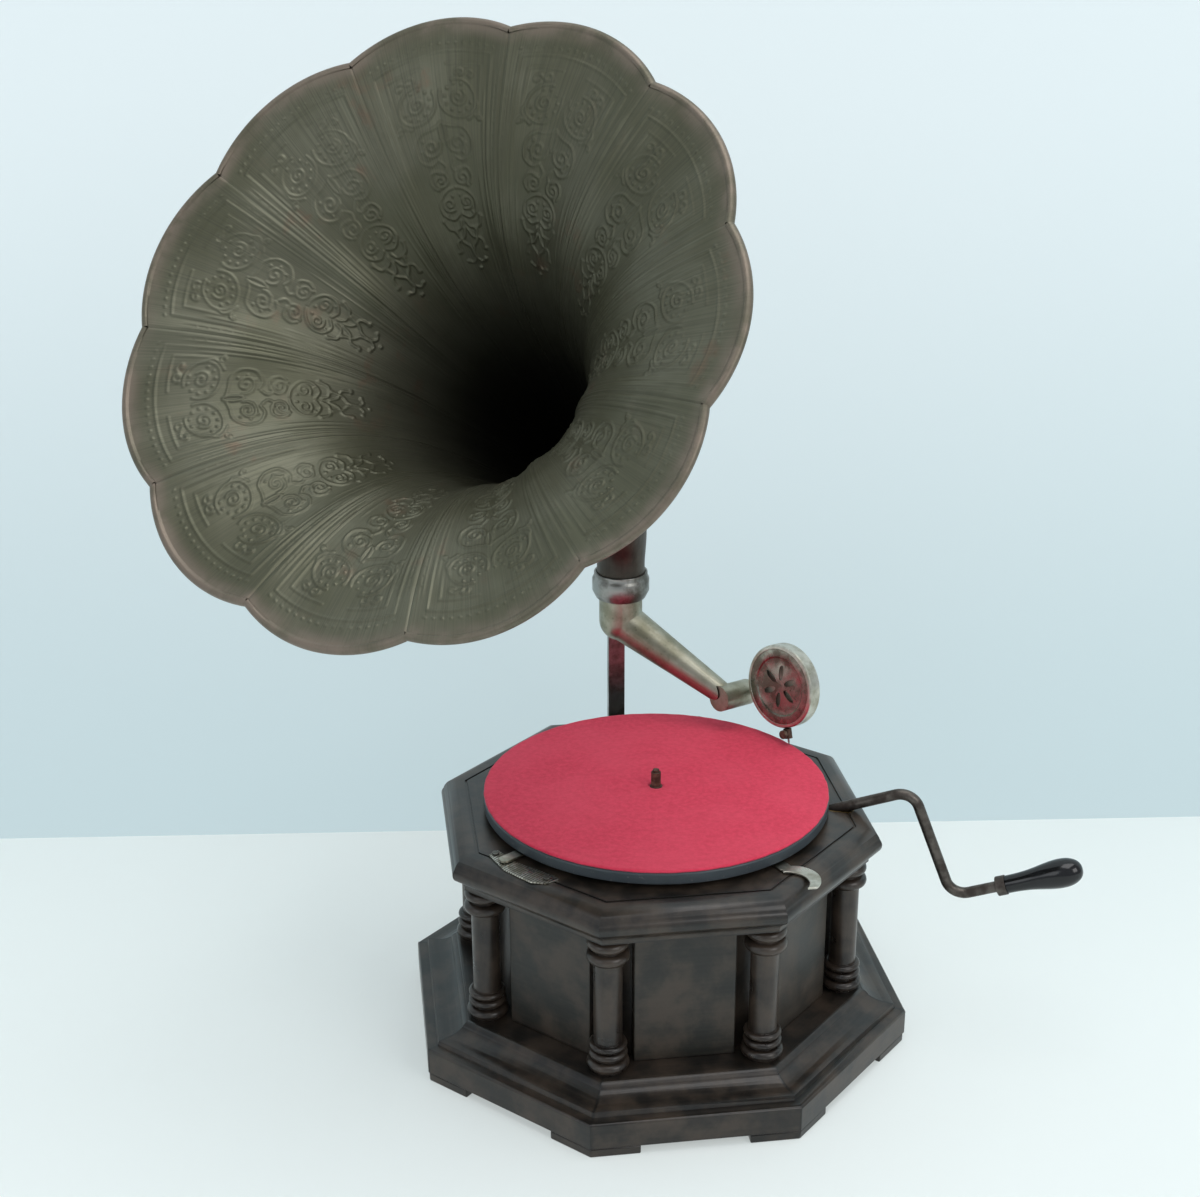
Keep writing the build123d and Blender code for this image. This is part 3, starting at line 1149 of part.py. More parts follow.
def elbow_sections(change):
    """Circles along the elbow's line, from the petals round to the neck."""
    bend = radians(90 - HORN_ELEVATION)
    corner_z = MOUTH_CENTRE.Z
    flat = sqrt((MOUTH_CENTRE.X - PIVOT.X) ** 2 + (MOUTH_CENTRE.Y - PIVOT.Y) ** 2)
    axis_length = flat / cos(radians(HORN_ELEVATION))
    corner_z -= axis_length * sin(radians(HORN_ELEVATION))
    corner = PIVOT + Vector(0, 0, corner_z)
    tangent = ELBOW_BEND_RADIUS * tan(bend / 2)
    inward = Vector(HORN_OUT.X, HORN_OUT.Y, 0).normalized()
    centre = corner - Vector(0, 0, tangent) + inward * ELBOW_BEND_RADIUS
    throat = flare(PETAL_LENGTH)
    stations = [(MOUTH_CENTRE - HORN_OUT * PETAL_LENGTH, HORN_OUT, 0.0)]
    total = axis_length - tangent - PETAL_LENGTH
    steps = 4
    for k in range(steps + 1):
        angle = bend * (1 - k / steps)
        place = centre - inward * (ELBOW_BEND_RADIUS * cos(angle))
        place += Vector(0, 0, ELBOW_BEND_RADIUS * sin(angle))
        heading = inward * sin(angle) + Vector(0, 0, cos(angle))
        stations.append((place, heading, total + ELBOW_BEND_RADIUS * bend * k / steps))
    collar_top = COLLAR_BOTTOM + COLLAR_HEIGHT
    span = stations[-1][2]
    stations.append((PIVOT + Vector(0, 0, collar_top), Vector(0, 0, 1), span + 10))
    faces = []
    for place, heading, run in stations:
        share = min(run / span, 1.0)
        radius = throat + (NECK_RADIUS - NECK_WALL - throat) * share + change
        faces.append(Plane(origin=place, z_dir=heading) * Circle(radius))
    return faces


def horn_elbow():
    """Elbow from the petals down to the neck, with a ring over the petals' ends."""
    low = (PIVOT.X, PIVOT.Y)
    top = COLLAR_BOTTOM + COLLAR_HEIGHT
    elbow = loft(elbow_sections(NECK_WALL)) + disc(NECK_RADIUS, NECK_BOTTOM, top, low)
    elbow -= loft(elbow_sections(0))
    elbow -= disc(NECK_RADIUS - NECK_WALL, NECK_BOTTOM - 1, top, low)
    return elbow


# Assembly

def build_cabinet():
    """Every piece that stays still."""
    parts["plinth_moulding"] = plinth()
    parts["plinth_feet"] = feet()
    low = FOOT_HEIGHT + BOTTOM_BOARD_RISE
    high = low + BOTTOM_BOARD_THICKNESS
    board = octagon(PLINTH_INNER_APOTHEM, low, high)
    parts["bottom_board"] = board - disc(BOTTOM_OPENING_RADIUS, low - 1, high + 1)
    parts["side_panels"] = side_panels()
    parts["corner_posts"] = corner_posts()
    parts["columns"] = columns()
    parts["top_board"] = top_board()
    parts["crank_bush"] = crank_bush()
    parts["motor_plate"] = motor_plate()
    parts["motor_base_plate"] = motor_base_plate()
    parts["motor_pillars"] = motor_pillars()
    parts["motor_screws"] = motor_screws()
    parts["governor_bearings"] = governor_bearings()
    parts["speed_plate"] = speed_plate()
    parts["speed_plate_screws"] = speed_plate_screws()
    parts["back_bracket"] = back_bracket()
    parts["bracket_screws"] = bracket_screws()
    parts["horn_collar"] = horn_collar()


def build_motor():
    """Everything driven by the spring or by the crank."""
    parts["platter"] = platter()
    parts["felt"] = felt()
    parts["spindle"] = spindle()
    parts["worm_wheel"] = worm_wheel()
    parts["intermediate_gear"] = idler()
    parts["spring_barrel"] = spring_barrel()
    parts["barrel_cover"] = barrel_cover()
    parts["mainspring"] = mainspring()
    parts["barrel_arbor"] = barrel_arbor()
    parts["winding_wheel"] = winding_wheel()
    parts["ratchet_wheel"] = ratchet_wheel()
    parts["click"] = click()
    parts["governor_shaft"] = governor_shaft()
    parts["governor_weights"] = governor_weights()
    parts["governor_disc"] = governor_disc()
    parts["brake_lever"] = brake_lever()
    parts["speed_lever"] = speed_lever()
    parts["crank_rod"] = crank_rod()
    parts["crank_pinion"] = crank_pinion()
    parts["crank_handle"] = crank_handle()
    parts["handle_ferrule"] = handle_ferrule()


def build_sound_path():
    """The soundbox, the arm and the horn."""
    parts["tonearm"] = tonearm()
    parts["crosspiece"] = crosspiece()
    parts["gooseneck"] = gooseneck()
    parts["soundbox_case"] = soundbox_case()
    parts["soundbox_face"] = soundbox_face()
    parts["diaphragm"] = diaphragm()
    parts["stylus_bar"] = stylus_bar()
    parts["needle"] = needle()
    parts["needle_screw"] = needle_screw()
    parts["horn_elbow"] = horn_elbow()
    for k, one in enumerate(petals(), start=1):
        parts["petal_" + str(k)] = one


def solids_of(shape):
    """The solids of a shape or of a list of shapes."""
    shapes = shape if isinstance(shape, list) else [shape]
    return [solid for one in shapes for solid in one.solids()]


build_cabinet()
build_motor()
build_sound_path()
nodes = {name: Compound(solids_of(shape)) for name, shape in parts.items()}
box = Compound(list(nodes.values())).bounding_box()
middle = box.center()
shift = Pos(-middle.X, -middle.Y, -box.min.Z)
os.makedirs("parts", exist_ok=True)
for name, node in nodes.items():
    export_step(shift * node, os.path.join("parts", name + ".step"))
print(len(nodes), "nodes, size", box.size, "spindle at", -middle.X, -middle.Y)
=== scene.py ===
"""Horn gramophone: an octagonal cabinet, a felt turntable, an arm with a soundbox and an embossed horn."""

import json
from math import cos, pi, radians, sin, tan

import bmesh
import bpy
import numpy as np
from mathutils import Matrix, Vector


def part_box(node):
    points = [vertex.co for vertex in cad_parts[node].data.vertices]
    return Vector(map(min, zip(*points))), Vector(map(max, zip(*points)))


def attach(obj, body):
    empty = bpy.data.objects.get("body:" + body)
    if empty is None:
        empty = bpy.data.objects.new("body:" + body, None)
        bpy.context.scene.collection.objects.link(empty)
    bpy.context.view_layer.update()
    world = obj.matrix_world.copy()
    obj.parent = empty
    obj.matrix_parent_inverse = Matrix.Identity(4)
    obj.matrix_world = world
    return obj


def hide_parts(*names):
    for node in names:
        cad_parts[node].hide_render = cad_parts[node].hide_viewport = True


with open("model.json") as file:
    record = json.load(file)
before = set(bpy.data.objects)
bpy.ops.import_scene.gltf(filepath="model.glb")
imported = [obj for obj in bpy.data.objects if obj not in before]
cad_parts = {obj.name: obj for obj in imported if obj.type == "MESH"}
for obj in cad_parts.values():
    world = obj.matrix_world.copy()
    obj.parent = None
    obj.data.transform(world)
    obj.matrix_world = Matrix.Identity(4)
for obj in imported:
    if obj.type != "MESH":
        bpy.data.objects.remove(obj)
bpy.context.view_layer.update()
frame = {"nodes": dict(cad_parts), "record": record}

MM = 0.001

# The spindle's axis on the floor, from which every size below is measured
felt_low, felt_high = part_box("felt")
SPINDLE = np.array([(felt_low[0] + felt_high[0]) / 2, (felt_low[1] + felt_high[1]) / 2, 0.0])

# Camera, fitted to the base's octagon, the turntable and the horn's mouth
IMAGE_WIDTH = 1200
FOCAL_PIXELS = 1871.95
SENSOR = 36.0
VIEW_AZIMUTH = -7.89
VIEW_ELEVATION = 21.3
VIEW_ROLL = -0.12
VIEW_DISTANCE = 1447.95
VIEW_RIGHT = -40.9
VIEW_HEIGHT = 314.19

# Horn
HORN_AZIMUTH = radians(-124.0)
HORN_ELEVATION = radians(36.1)
MOUTH_CENTRE = np.array([-166.1, -98.4, 565.3])
PETALS = 11
FIRST_SEAM = 2.7
SEAM_RADIUS = 201.3
LOBE_HEIGHT = 9.7
SEAM_GAP = 0.14
PETAL_WALL = 1.2
BEAD_RADIUS = 3.0
FLARE_OFFSET = 50.0
FLARE_FLOOR = 6.0
FLARE_SCALE = (SEAM_RADIUS - FLARE_FLOOR) * FLARE_OFFSET
PETAL_LENGTH = 300.0
RIM_START = 5.5
ORNAMENT_END = 176.0
FINE_STEP = 0.75
COARSE_STEP = 4.0
COLUMNS = 145
STROKE_WIDTH = 1.35
STROKE_HEIGHT = 0.85

LOBE_FADE = 1.2
GROOVE_DEPTH = 0.6
GROOVE_WIDTH = 1.1
PROFILE_SAMPLES = 6001
BACK_EVERY = 3

# Ornament: distances from the rim in millimetres, places across as shares of the half width
BEAD_ROW = 17.5
BEAD_PITCH = 5.4
# Each frame line's distance, its turn at the side, where it ends and its height
FRAME_LINES = ((22.5, 0.80, 118.0, 0.7), (30.5, 0.66, 62.0, 0.55))
# Each drawn line's place across, start, end and height
SEAM_LINES = (
    (0.945, 26.0, 230.0, 0.4), (0.885, 30.0, 200.0, 0.45), (0.83, 60.0, 186.0, 0.4),
    (0.73, 44.0, 150.0, 0.45), (0.60, 96.0, 205.0, 0.35), (0.50, 150.0, 250.0, 0.3),
)

FELT_RADIUS = 126.8
FELT_HOLE = 4.8
FELT_THICKNESS = 2.0
FELT_TURNS = 240
FELT_RINGS = 70
FELT_UNDER_RINGS = 12

# Joined and eased edges
JOIN_DISTANCE = 2e-6
FLAT_ANGLE = radians(0.4)
BEVEL_SEGMENTS = 2

# Cuts on the speed plate, in metres
HATCH_PITCH = 0.0021
HATCH_TURN = radians(50.9)

# Stage, in metres
WALL_DISTANCE = 0.293
WALL_TURN = radians(5.93)
WALL_HEIGHT = 4
TABLE_FRONT = -5
STAGE_REACH = 6.0


# Shader maths

class Socket:
    """A node socket that can stand in an expression, which adds the maths nodes it needs."""

    def __init__(self, shader, link):
        self.shader = shader
        self.link = link

    def math(self, operation, *values):
        return self.shader.node("ShaderNodeMath", {"operation": operation}, [self, *values])

    def __add__(self, other):
        return self.math("ADD", other)

    def __sub__(self, other):
        return self.math("SUBTRACT", other)

    def __mul__(self, other):
        return self.math("MULTIPLY", other)

    def __truediv__(self, other):
        return self.math("DIVIDE", other)

    def __pow__(self, other):
        return self.math("POWER", other)


class Shader:
    """One material's nodes, with short names for the patterns that it uses."""

    def __init__(self, name):
        self.material = bpy.data.materials.new(name)
        self.material.use_nodes = True
        self.tree = self.material.node_tree
        self.surface = self.tree.nodes["Principled BSDF"]
        self.output = self.tree.nodes["Material Output"]

    def node(self, kind, settings=None, inputs=None, output=0):
        """Adds a node, with its settings first, then the values or links of its sockets."""
        made = self.tree.nodes.new(kind)
        for key, value in (settings or {}).items():
            setattr(made, key, value)
        named = inputs.items() if isinstance(inputs, dict) else enumerate(inputs or [])
        for key, value in named:
            self.put(made.inputs[key], value)
        return Socket(self, made.outputs[output])

    def put(self, socket, value):
        if isinstance(value, Socket):
            self.tree.links.new(value.link, socket)
        else:
            socket.default_value = value

    def place(self):
        """Object coordinates, in metres."""
        return self.node("ShaderNodeTexCoord", output="Object")

    def mapped(self, vector, scale=(1, 1, 1), turn=(0, 0, 0), move=(0, 0, 0)):
        inputs = {"Vector": vector, "Location": move, "Rotation": turn, "Scale": scale}
        return self.node("ShaderNodeMapping", None, inputs)

    def split(self, vector):
        made = self.tree.nodes.new("ShaderNodeSeparateXYZ")
        self.put(made.inputs[0], vector)
        return [Socket(self, one) for one in made.outputs]

    def joined(self, x, y, z):
        return self.node("ShaderNodeCombineXYZ", None, [x, y, z])

    def noise(self, vector, scale, detail=4.0, roughness=0.55):
        inputs = {"Vector": vector, "Scale": scale, "Detail": detail, "Roughness": roughness}
        return self.node("ShaderNodeTexNoise", None, inputs, "Fac")

    def spots(self, vector, scale):
        return self.node("ShaderNodeTexVoronoi", None, {"Vector": vector, "Scale": scale}, "Distance")

    def step(self, value, low, high, start=0.0, end=1.0):
        """Smooth rise from start to end as the value goes from low to high."""
        settings = {"interpolation_type": "SMOOTHSTEP"}
        return self.node("ShaderNodeMapRange", settings, [value, low, high, start, end])

    def blend(self, factor, first, second):
        """Mix of two colours."""
        made = self.tree.nodes.new("ShaderNodeMix")
        made.data_type = "RGBA"
        for key, value in ((0, factor), (6, first), (7, second)):
            self.put(made.inputs[key], colour(value) if isinstance(value, tuple) else value)
        return Socket(self, made.outputs[2])

    def hollow(self, distance):
        """Ambient openness, low in corners and under things."""
        settings = {"samples": 8}
        return self.node("ShaderNodeAmbientOcclusion", settings, {"Distance": distance}, "AO")

    def edge(self, distance):
        """High near the object's own outer edges, where the solid behind the surface is thin."""
        settings = {"samples": 8, "inside": True, "only_local": True}
        return self.node("ShaderNodeAmbientOcclusion", settings, {"Distance": distance}, "AO")

    def bump(self, height, strength, distance):
        inputs = {"Strength": strength, "Distance": distance, "Height": height}
        return self.node("ShaderNodeBump", None, inputs)

    def finish(self, base, roughness, metallic=0.0, normal=None, **constants):
        """Feeds the surface and returns the material."""
        self.put(self.surface.inputs["Base Color"], colour(base) if isinstance(base, tuple) else base)
        self.put(self.surface.inputs["Roughness"], roughness)
        self.put(self.surface.inputs["Metallic"], metallic)
        if normal:
            self.put(self.surface.inputs["Normal"], normal)
        for key, value in constants.items():
            self.surface.inputs[key.replace("_", " ").title().replace("Ior", "IOR")].default_value = value
        return self.material


def colour(value):
    return (*value, 1.0) if len(value) == 3 else value


# Finishes

def octagon_grain(shader):
    """Coordinates along, out from and up each of the cabinet's eight sides, about the spindle."""
    move = (-float(SPINDLE[0]), -float(SPINDLE[1]), 0.0)
    x, y, z = shader.split(shader.mapped(shader.place(), move=move))
    corner = pi / 4
    side = shader.node("ShaderNodeMath", {"operation": "ROUND"}, [y.math("ARCTAN2", x) / corner]) * corner
    cosine = side.math("COSINE")
    sine = side.math("SINE")
    return shader.joined(y * cosine - x * sine, x * cosine + y * sine, z)


def wood(name, deep, worn, sheen, upright=False):
    """Very dark stained wood: fine grain along each side, dull patches, pale brown worn edges."""
    shader = Shader(name)
    grain = octagon_grain(shader)
    along = (70.0, 500.0, 25.0) if upright else (14.0, 420.0, 420.0)
    fibre = shader.noise(shader.mapped(grain, along), 1.0, 6.0, 0.6)
    broad = shader.noise(shader.mapped(grain, (9.0, 30.0, 30.0)), 1.0, 3.0)
    cloud = shader.noise(shader.place(), 34.0, 5.0, 0.6)
    fine = shader.noise(shader.place(), 420.0, 3.0)
    base = shader.blend(shader.step(fibre, 0.35, 0.7), deep, worn)
    base = shader.blend(shader.step(broad, 0.3, 0.75, 0.6, 0.2), base, deep)
    rubbed = shader.step(shader.edge(0.0018), 0.62, 0.97) * shader.step(cloud, 0.36, 0.66)
    base = shader.blend(rubbed * 0.55, base, (0.085, 0.06, 0.043))
    dust = shader.step(shader.hollow(0.02), 0.25, 0.75, 0.55, 0.0) * shader.step(fine, 0.3, 0.7)
    base = shader.blend(dust * 0.5, base, (0.035, 0.027, 0.02))
    rough = shader.step(cloud, 0.2, 0.85, sheen, sheen + 0.07)
    height = fibre * 0.7 + fine * 0.3
    return shader.finish(base, rough, normal=shader.bump(height, 0.28, 0.0004), ior=1.5)


def horn_metal(name):
    """Thin olive lacquer on sheet metal: drawn streaks along the horn, red-brown rubbing, and painted shade
    that darkens the throat and the creases.
    """
    shader = Shader(name)
    uv = shader.node("ShaderNodeUVMap", {"uv_map": "sheet"})
    across, along, _ = shader.split(uv)
    place = shader.place()
    streak = shader.noise(shader.joined(across * 900.0, along * 9.0, 0.0), 1.0, 4.0, 0.65)
    broad = shader.noise(place, 13.0, 4.0, 0.6)
    patch = shader.noise(place, 34.0, 5.0, 0.6)
    grain = shader.noise(place, 900.0, 3.0)
    olive = shader.blend(shader.step(broad, 0.35, 0.65), (0.088, 0.087, 0.052), (0.128, 0.126, 0.086))
    brown = shader.step(patch, 0.57, 0.7) * shader.step(broad, 0.4, 0.62)
    base = shader.blend(brown * 0.6, olive, (0.15, 0.088, 0.056))
    base = shader.blend(shader.step(streak, 0.35, 0.7, 0.0, 0.5), base, (0.05, 0.05, 0.034))
    rim = shader.step(along, 0.003, 0.016, 1.0, 0.0)
    base = shader.blend(rim * shader.step(patch, 0.38, 0.6, 0.25, 0.9), base, (0.21, 0.165, 0.13))
    # painted shade: the throat darkens to near black with distance from the rim
    dark = shader.step(along, 0.1, 0.30)
    base = shader.blend(dark * 0.93, base, (0.012, 0.012, 0.009))
    # painted shade: darker where ambient occlusion finds creases and hollows
    painted_hollow_shade = shader.step(shader.hollow(0.004), 0.55, 0.95, 0.7, 0.0)
    base = shader.blend(painted_hollow_shade, base, (0.035, 0.032, 0.022))
    rough = shader.step(streak, 0.3, 0.7, 0.36, 0.5)
    normal = shader.bump(streak * 0.7 + grain * 0.3, 0.25, 0.0003)
    return shader.finish(base, rough, 0.55, normal)


def old_metal(name, bright, dull, low=0.2, high=0.5, share=0.5, scale=40.0, metallic=1.0):
    """Plated or plain metal with duller tarnish in clouds, small stains, fine scratches and painted shade in
    its hollows.
    """
    shader = Shader(name)
    place = shader.place()
    cloud = shader.noise(place, scale, 6.0, 0.6)
    stain = shader.spots(place, scale * 9)
    scratch = shader.noise(shader.mapped(place, (2500.0, 200.0, 400.0)), 1.0, 2.0)
    tarnish = shader.step(cloud, share - 0.12, share + 0.12)
    base = shader.blend(tarnish, bright, dull)
    stained = shader.step(stain, 0.1, 0.3, 0.45, 0.0) * tarnish
    base = shader.blend(stained, base, tuple(0.45 * c for c in dull))
    # painted shade: darker where ambient occlusion finds hollows
    painted_hollow_shade = shader.step(shader.hollow(0.006), 0.35, 0.85, 0.8, 0.0)
    base = shader.blend(painted_hollow_shade, base, tuple(0.25 * c for c in dull))
    rough = shader.step(cloud * 0.8 + scratch * 0.2, share - 0.2, share + 0.2, low, high)
    return shader.finish(base, rough, metallic, shader.bump(scratch, 0.12, 0.0001))


def felt_cloth(name):
    """Crimson felt: matted fibres, faint rings where records have turned, a paler nap here and there."""
    shader = Shader(name)
    move = (-float(SPINDLE[0]), -float(SPINDLE[1]), 0.0)
    place = shader.mapped(shader.place(), move=move)
    x, y, _ = shader.split(place)
    radius = (x * x + y * y) ** 0.5
    fibre = shader.noise(place, 1500.0, 5.0, 0.7)
    mat = shader.noise(place, 260.0, 5.0, 0.7)
    nap = shader.noise(place, 22.0, 4.0, 0.55)
    ring = shader.noise(shader.joined(radius * 160.0, 0.0, 0.0), 1.0, 3.0)
    base = shader.blend(shader.step(mat, 0.3, 0.7), (0.62, 0.022, 0.062), (0.74, 0.042, 0.095))
    base = shader.blend(shader.step(nap, 0.35, 0.7, 0.0, 0.45), base, (0.76, 0.058, 0.11))
    base = shader.blend(shader.step(ring, 0.5, 0.75, 0.0, 0.3), base, (0.56, 0.022, 0.058))
    normal = shader.bump(fibre * 0.5 + mat * 0.5, 0.55, 0.0006)
    return shader.finish(base, 0.95, 0.0, normal, sheen_weight=0.1, sheen_roughness=0.5)


def painted(name, base, worn, roughness):
    """Smooth paint or lacquer with slight clouding and a few small rubbed spots."""
    shader = Shader(name)
    cloud = shader.noise(shader.place(), 45.0, 4.0, 0.5)
    fine = shader.noise(shader.place(), 700.0, 3.0)
    rubbed = shader.step(shader.noise(shader.place(), 260.0, 4.0, 0.6), 0.62, 0.72)
    mixed = shader.blend(shader.step(cloud, 0.3, 0.7), base, tuple(1.2 * c for c in base))
    mixed = shader.blend(rubbed * 0.35, mixed, worn)
    rough = shader.step(cloud, 0.3, 0.7, roughness, roughness + 0.08)
    return shader.finish(mixed, rough, 0.1, shader.bump(fine, 0.08, 0.0002))


def hatched_plate(name):
    """Bright plated metal crossed by fine slanting cuts."""
    shader = Shader(name)
    place = shader.mapped(shader.place(), turn=(0.0, 0.0, HATCH_TURN))
    x, y, _ = shader.split(place)
    wave = (x * (2 * pi / HATCH_PITCH)).math("SINE")
    cuts = shader.step(wave, 0.2, 0.8)
    cloud = shader.noise(shader.place(), 130.0, 5.0)
    base = shader.blend(shader.step(cloud, 0.4, 0.62), (0.55, 0.53, 0.47), (0.24, 0.22, 0.17))
    base = shader.blend(cuts * 0.75, base, (0.06, 0.055, 0.045))
    rough = shader.step(cloud, 0.35, 0.65, 0.22, 0.42)
    return shader.finish(base, rough, 1.0, shader.bump(wave, 0.3, 0.0003))


# Meshes

def new_piece(name, verts, faces, body, material, node, smooth, uv=None):
    """A piece from arrays in millimetres about the spindle, riding a body and standing for a node."""
    mesh = bpy.data.meshes.new(name)
    mesh.from_pydata((np.asarray(verts) + SPINDLE / MM) * MM, [], faces)
    mesh.validate()
    if uv is not None:
        layer = mesh.uv_layers.new(name="sheet")
        corner = np.empty(len(mesh.loops), np.int32)
        mesh.loops.foreach_get("vertex_index", corner)
        layer.data.foreach_set("uv", np.asarray(uv, np.float32)[corner].ravel())
    mesh.polygons.foreach_set("use_smooth", np.ones(len(mesh.polygons), bool))
    mesh.set_sharp_from_angle(angle=radians(smooth))
    return settle(bpy.data.objects.new(name, mesh), body, material, node)


def settle(piece, body, material, node):
    """Links a new piece, gives it its finish and body, and lets it stand for a node."""
    bpy.context.scene.collection.objects.link(piece)
    piece.data.materials.append(material)
    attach(piece, body)
    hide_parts(node)
    return piece


def dressed(node, body, material, bevel=0.0, smooth=35.0):
    """A node's own shape, with its triangles joined, flats made whole, and its edges eased."""
    source = frame["nodes"][node]
    shape = bmesh.new()
    shape.from_mesh(source.data)
    bmesh.ops.remove_doubles(shape, verts=shape.verts, dist=JOIN_DISTANCE)
    bmesh.ops.dissolve_limit(
        shape, angle_limit=FLAT_ANGLE, verts=shape.verts, edges=shape.edges, delimit={"NORMAL"}
    )
    mesh = bpy.data.meshes.new(node + "_dressed")
    shape.to_mesh(mesh)
    shape.free()
    mesh.polygons.foreach_set("use_smooth", np.ones(len(mesh.polygons), bool))
    mesh.set_sharp_from_angle(angle=radians(smooth))
    piece = settle(bpy.data.objects.new(node + "_dressed", mesh), body, material, node)
    if bevel:
        eased = piece.modifiers.new("eased edges", "BEVEL")
        eased.width = bevel * MM
        eased.segments = BEVEL_SEGMENTS
        eased.limit_method = "ANGLE"
        eased.angle_limit = radians(smooth)
        eased.harden_normals = False
        eased.use_clamp_overlap = True
    return piece


# Horn

def flare(depth):
    """Radius along a seam: scale over (depth + offset), plus a floor that fades to the throat."""
    return FLARE_SCALE / (depth + FLARE_OFFSET) + FLARE_FLOOR * (1 - (depth / PETAL_LENGTH) ** 2)


def lobe_arc(seam, lobe):
    """Arc through both seams and the lobe's top: its centre's distance, radius and half angle."""
    half = pi / PETALS
    x, y, top = seam * np.cos(half), seam * np.sin(half), seam + lobe
    centre = (top ** 2 - x ** 2 - y ** 2) / (2 * (top - x))
    return centre, top - centre, np.arctan2(y, x - centre)


def spiral(x, s, start, end, first, turns, count=90):
    """Points that turn about (x, s) while the radius goes from start to end."""
    t = np.linspace(0, 1, count)
    angle = first + turns * 2 * pi * t
    radius = start + (end - start) * t
    return np.stack([x + radius * np.cos(angle), s + radius * np.sin(angle)], 1)


def bent(points, count=60):
    """A smooth stroke through given points, as a Catmull-Rom curve."""
    p = np.array([points[0], *points, points[-1]], float)
    spans = len(points) - 1
    t = np.linspace(0, spans - 1e-6, count)
    k = t.astype(int)
    f = (t - k)[:, None]
    a, b, c, d = p[k], p[k + 1], p[k + 2], p[k + 3]
    square = (2 * a - 5 * b + 4 * c - d) * f ** 2
    cube = (3 * b - a - 3 * c + d) * f ** 3
    return 0.5 * (2 * b + (c - a) * f + square + cube)


def scrollwork():
    """Half of a petal's ornament, in millimetres across from its middle and along from its rim."""
    strokes = [
        # Roundel near the rim: open ring, inner spiral
        spiral(14.0, 52.0, 12.6, 11.6, radians(205), -0.86),
        spiral(14.0, 52.0, 5.6, 0.8, radians(-40), 1.55),
        # Curls between the roundel and the frame
        spiral(17.5, 36.5, 3.4, 1.2, radians(160), 0.85, 40),
        spiral(24.0, 37.5, 3.2, 1.2, radians(200), 0.85, 40),
        bent([(25.5, 52), (27.2, 57), (24.0, 62), (19.5, 65.5)]),
        spiral(27.0, 64.0, 2.4, 0.8, radians(200), 0.8, 40),
        # Heart under the roundels
        bent([(1.0, 67.5), (7.0, 69.5), (14.5, 70.5), (19.0, 77.0), (17.5, 86.0), (11.0, 91.0), (6.0, 89.0)]),
        spiral(9.0, 80.5, 6.6, 1.0, radians(200), -1.5),
        bent([(0.6, 66.0), (1.7, 70.0), (1.5, 76.0), (0.3, 79.5)], 30),
        bent([(4.5, 90.5), (2.0, 94.0), (3.5, 97.5), (7.5, 97.0)], 30),
        # Small scrolls
        spiral(7.4, 102.0, 5.4, 0.9, radians(250), -1.45),
        bent([(6.0, 96.0), (12.0, 96.0), (14.0, 101.0), (12.0, 105.5)], 30),
        # Long leaves
        bent([(1.0, 108.0), (6.0, 109.5), (11.5, 115.0), (11.0, 123.0), (5.5, 128.0), (1.2, 125.5)]),
        spiral(5.6, 118.0, 4.6, 0.9, radians(120), -1.4),
        bent([(1.5, 130.0), (3.5, 134.5), (9.5, 134.0), (12.0, 128.5)], 30),
        # Tip
        bent([(0.8, 135.0), (3.0, 141.0), (8.0, 143.5), (8.6, 149.0)], 30),
        bent([(6.5, 137.5), (4.5, 144.5), (1.0, 149.0), (0.4, 157.0)], 30),
        bent([(0.3, 157.0), (2.6, 160.0), (5.2, 159.0)], 20),
    ]
    ring = radians(20) + np.arange(9) * radians(34)
    dots = [(14.0 + 8.9 * np.cos(a), 52.0 + 8.9 * np.sin(a), 1.05) for a in ring]
    dots += [(13.6, 75.2, 1.0), (15.2, 81.0, 1.0), (12.0, 86.5, 1.0), (4.0, 84.6, 0.9)]
    dots += [(18.6, 37.0, 1.5), (24.6, 38.4, 1.5), (27.3, 64.3, 1.3), (8.8, 150.2, 1.7), (12.4, 127.0, 1.6)]
    dots += [(6.7, 136.4, 1.5), (5.8, 158.4, 1.5), (0.0, 165.0, 1.4), (10.0, 106.8, 1.3), (2.4, 113.0, 1.0)]
    dots += [(8.2, 124.4, 1.0), (8.7, 119.6, 0.9)]
    return np.concatenate(strokes), np.array(dots)


def ridge(distance, width):
    """Rounded ridge: one on its line, nothing past its width."""
    return np.clip(1 - (distance / width) ** 2, 0, None) ** 1.5


def nearest(x, s, points):
    """Distance from each place of the grid to the nearest of the points."""
    best = np.full(x.shape, 1e9)
    for start in range(0, len(points), 60):
        part = points[start:start + 60]
        gap = (x[..., None] - part[:, 0]) ** 2 + (s[..., None] - part[:, 1]) ** 2
        best = np.minimum(best, gap.min(-1))
    return np.sqrt(best)


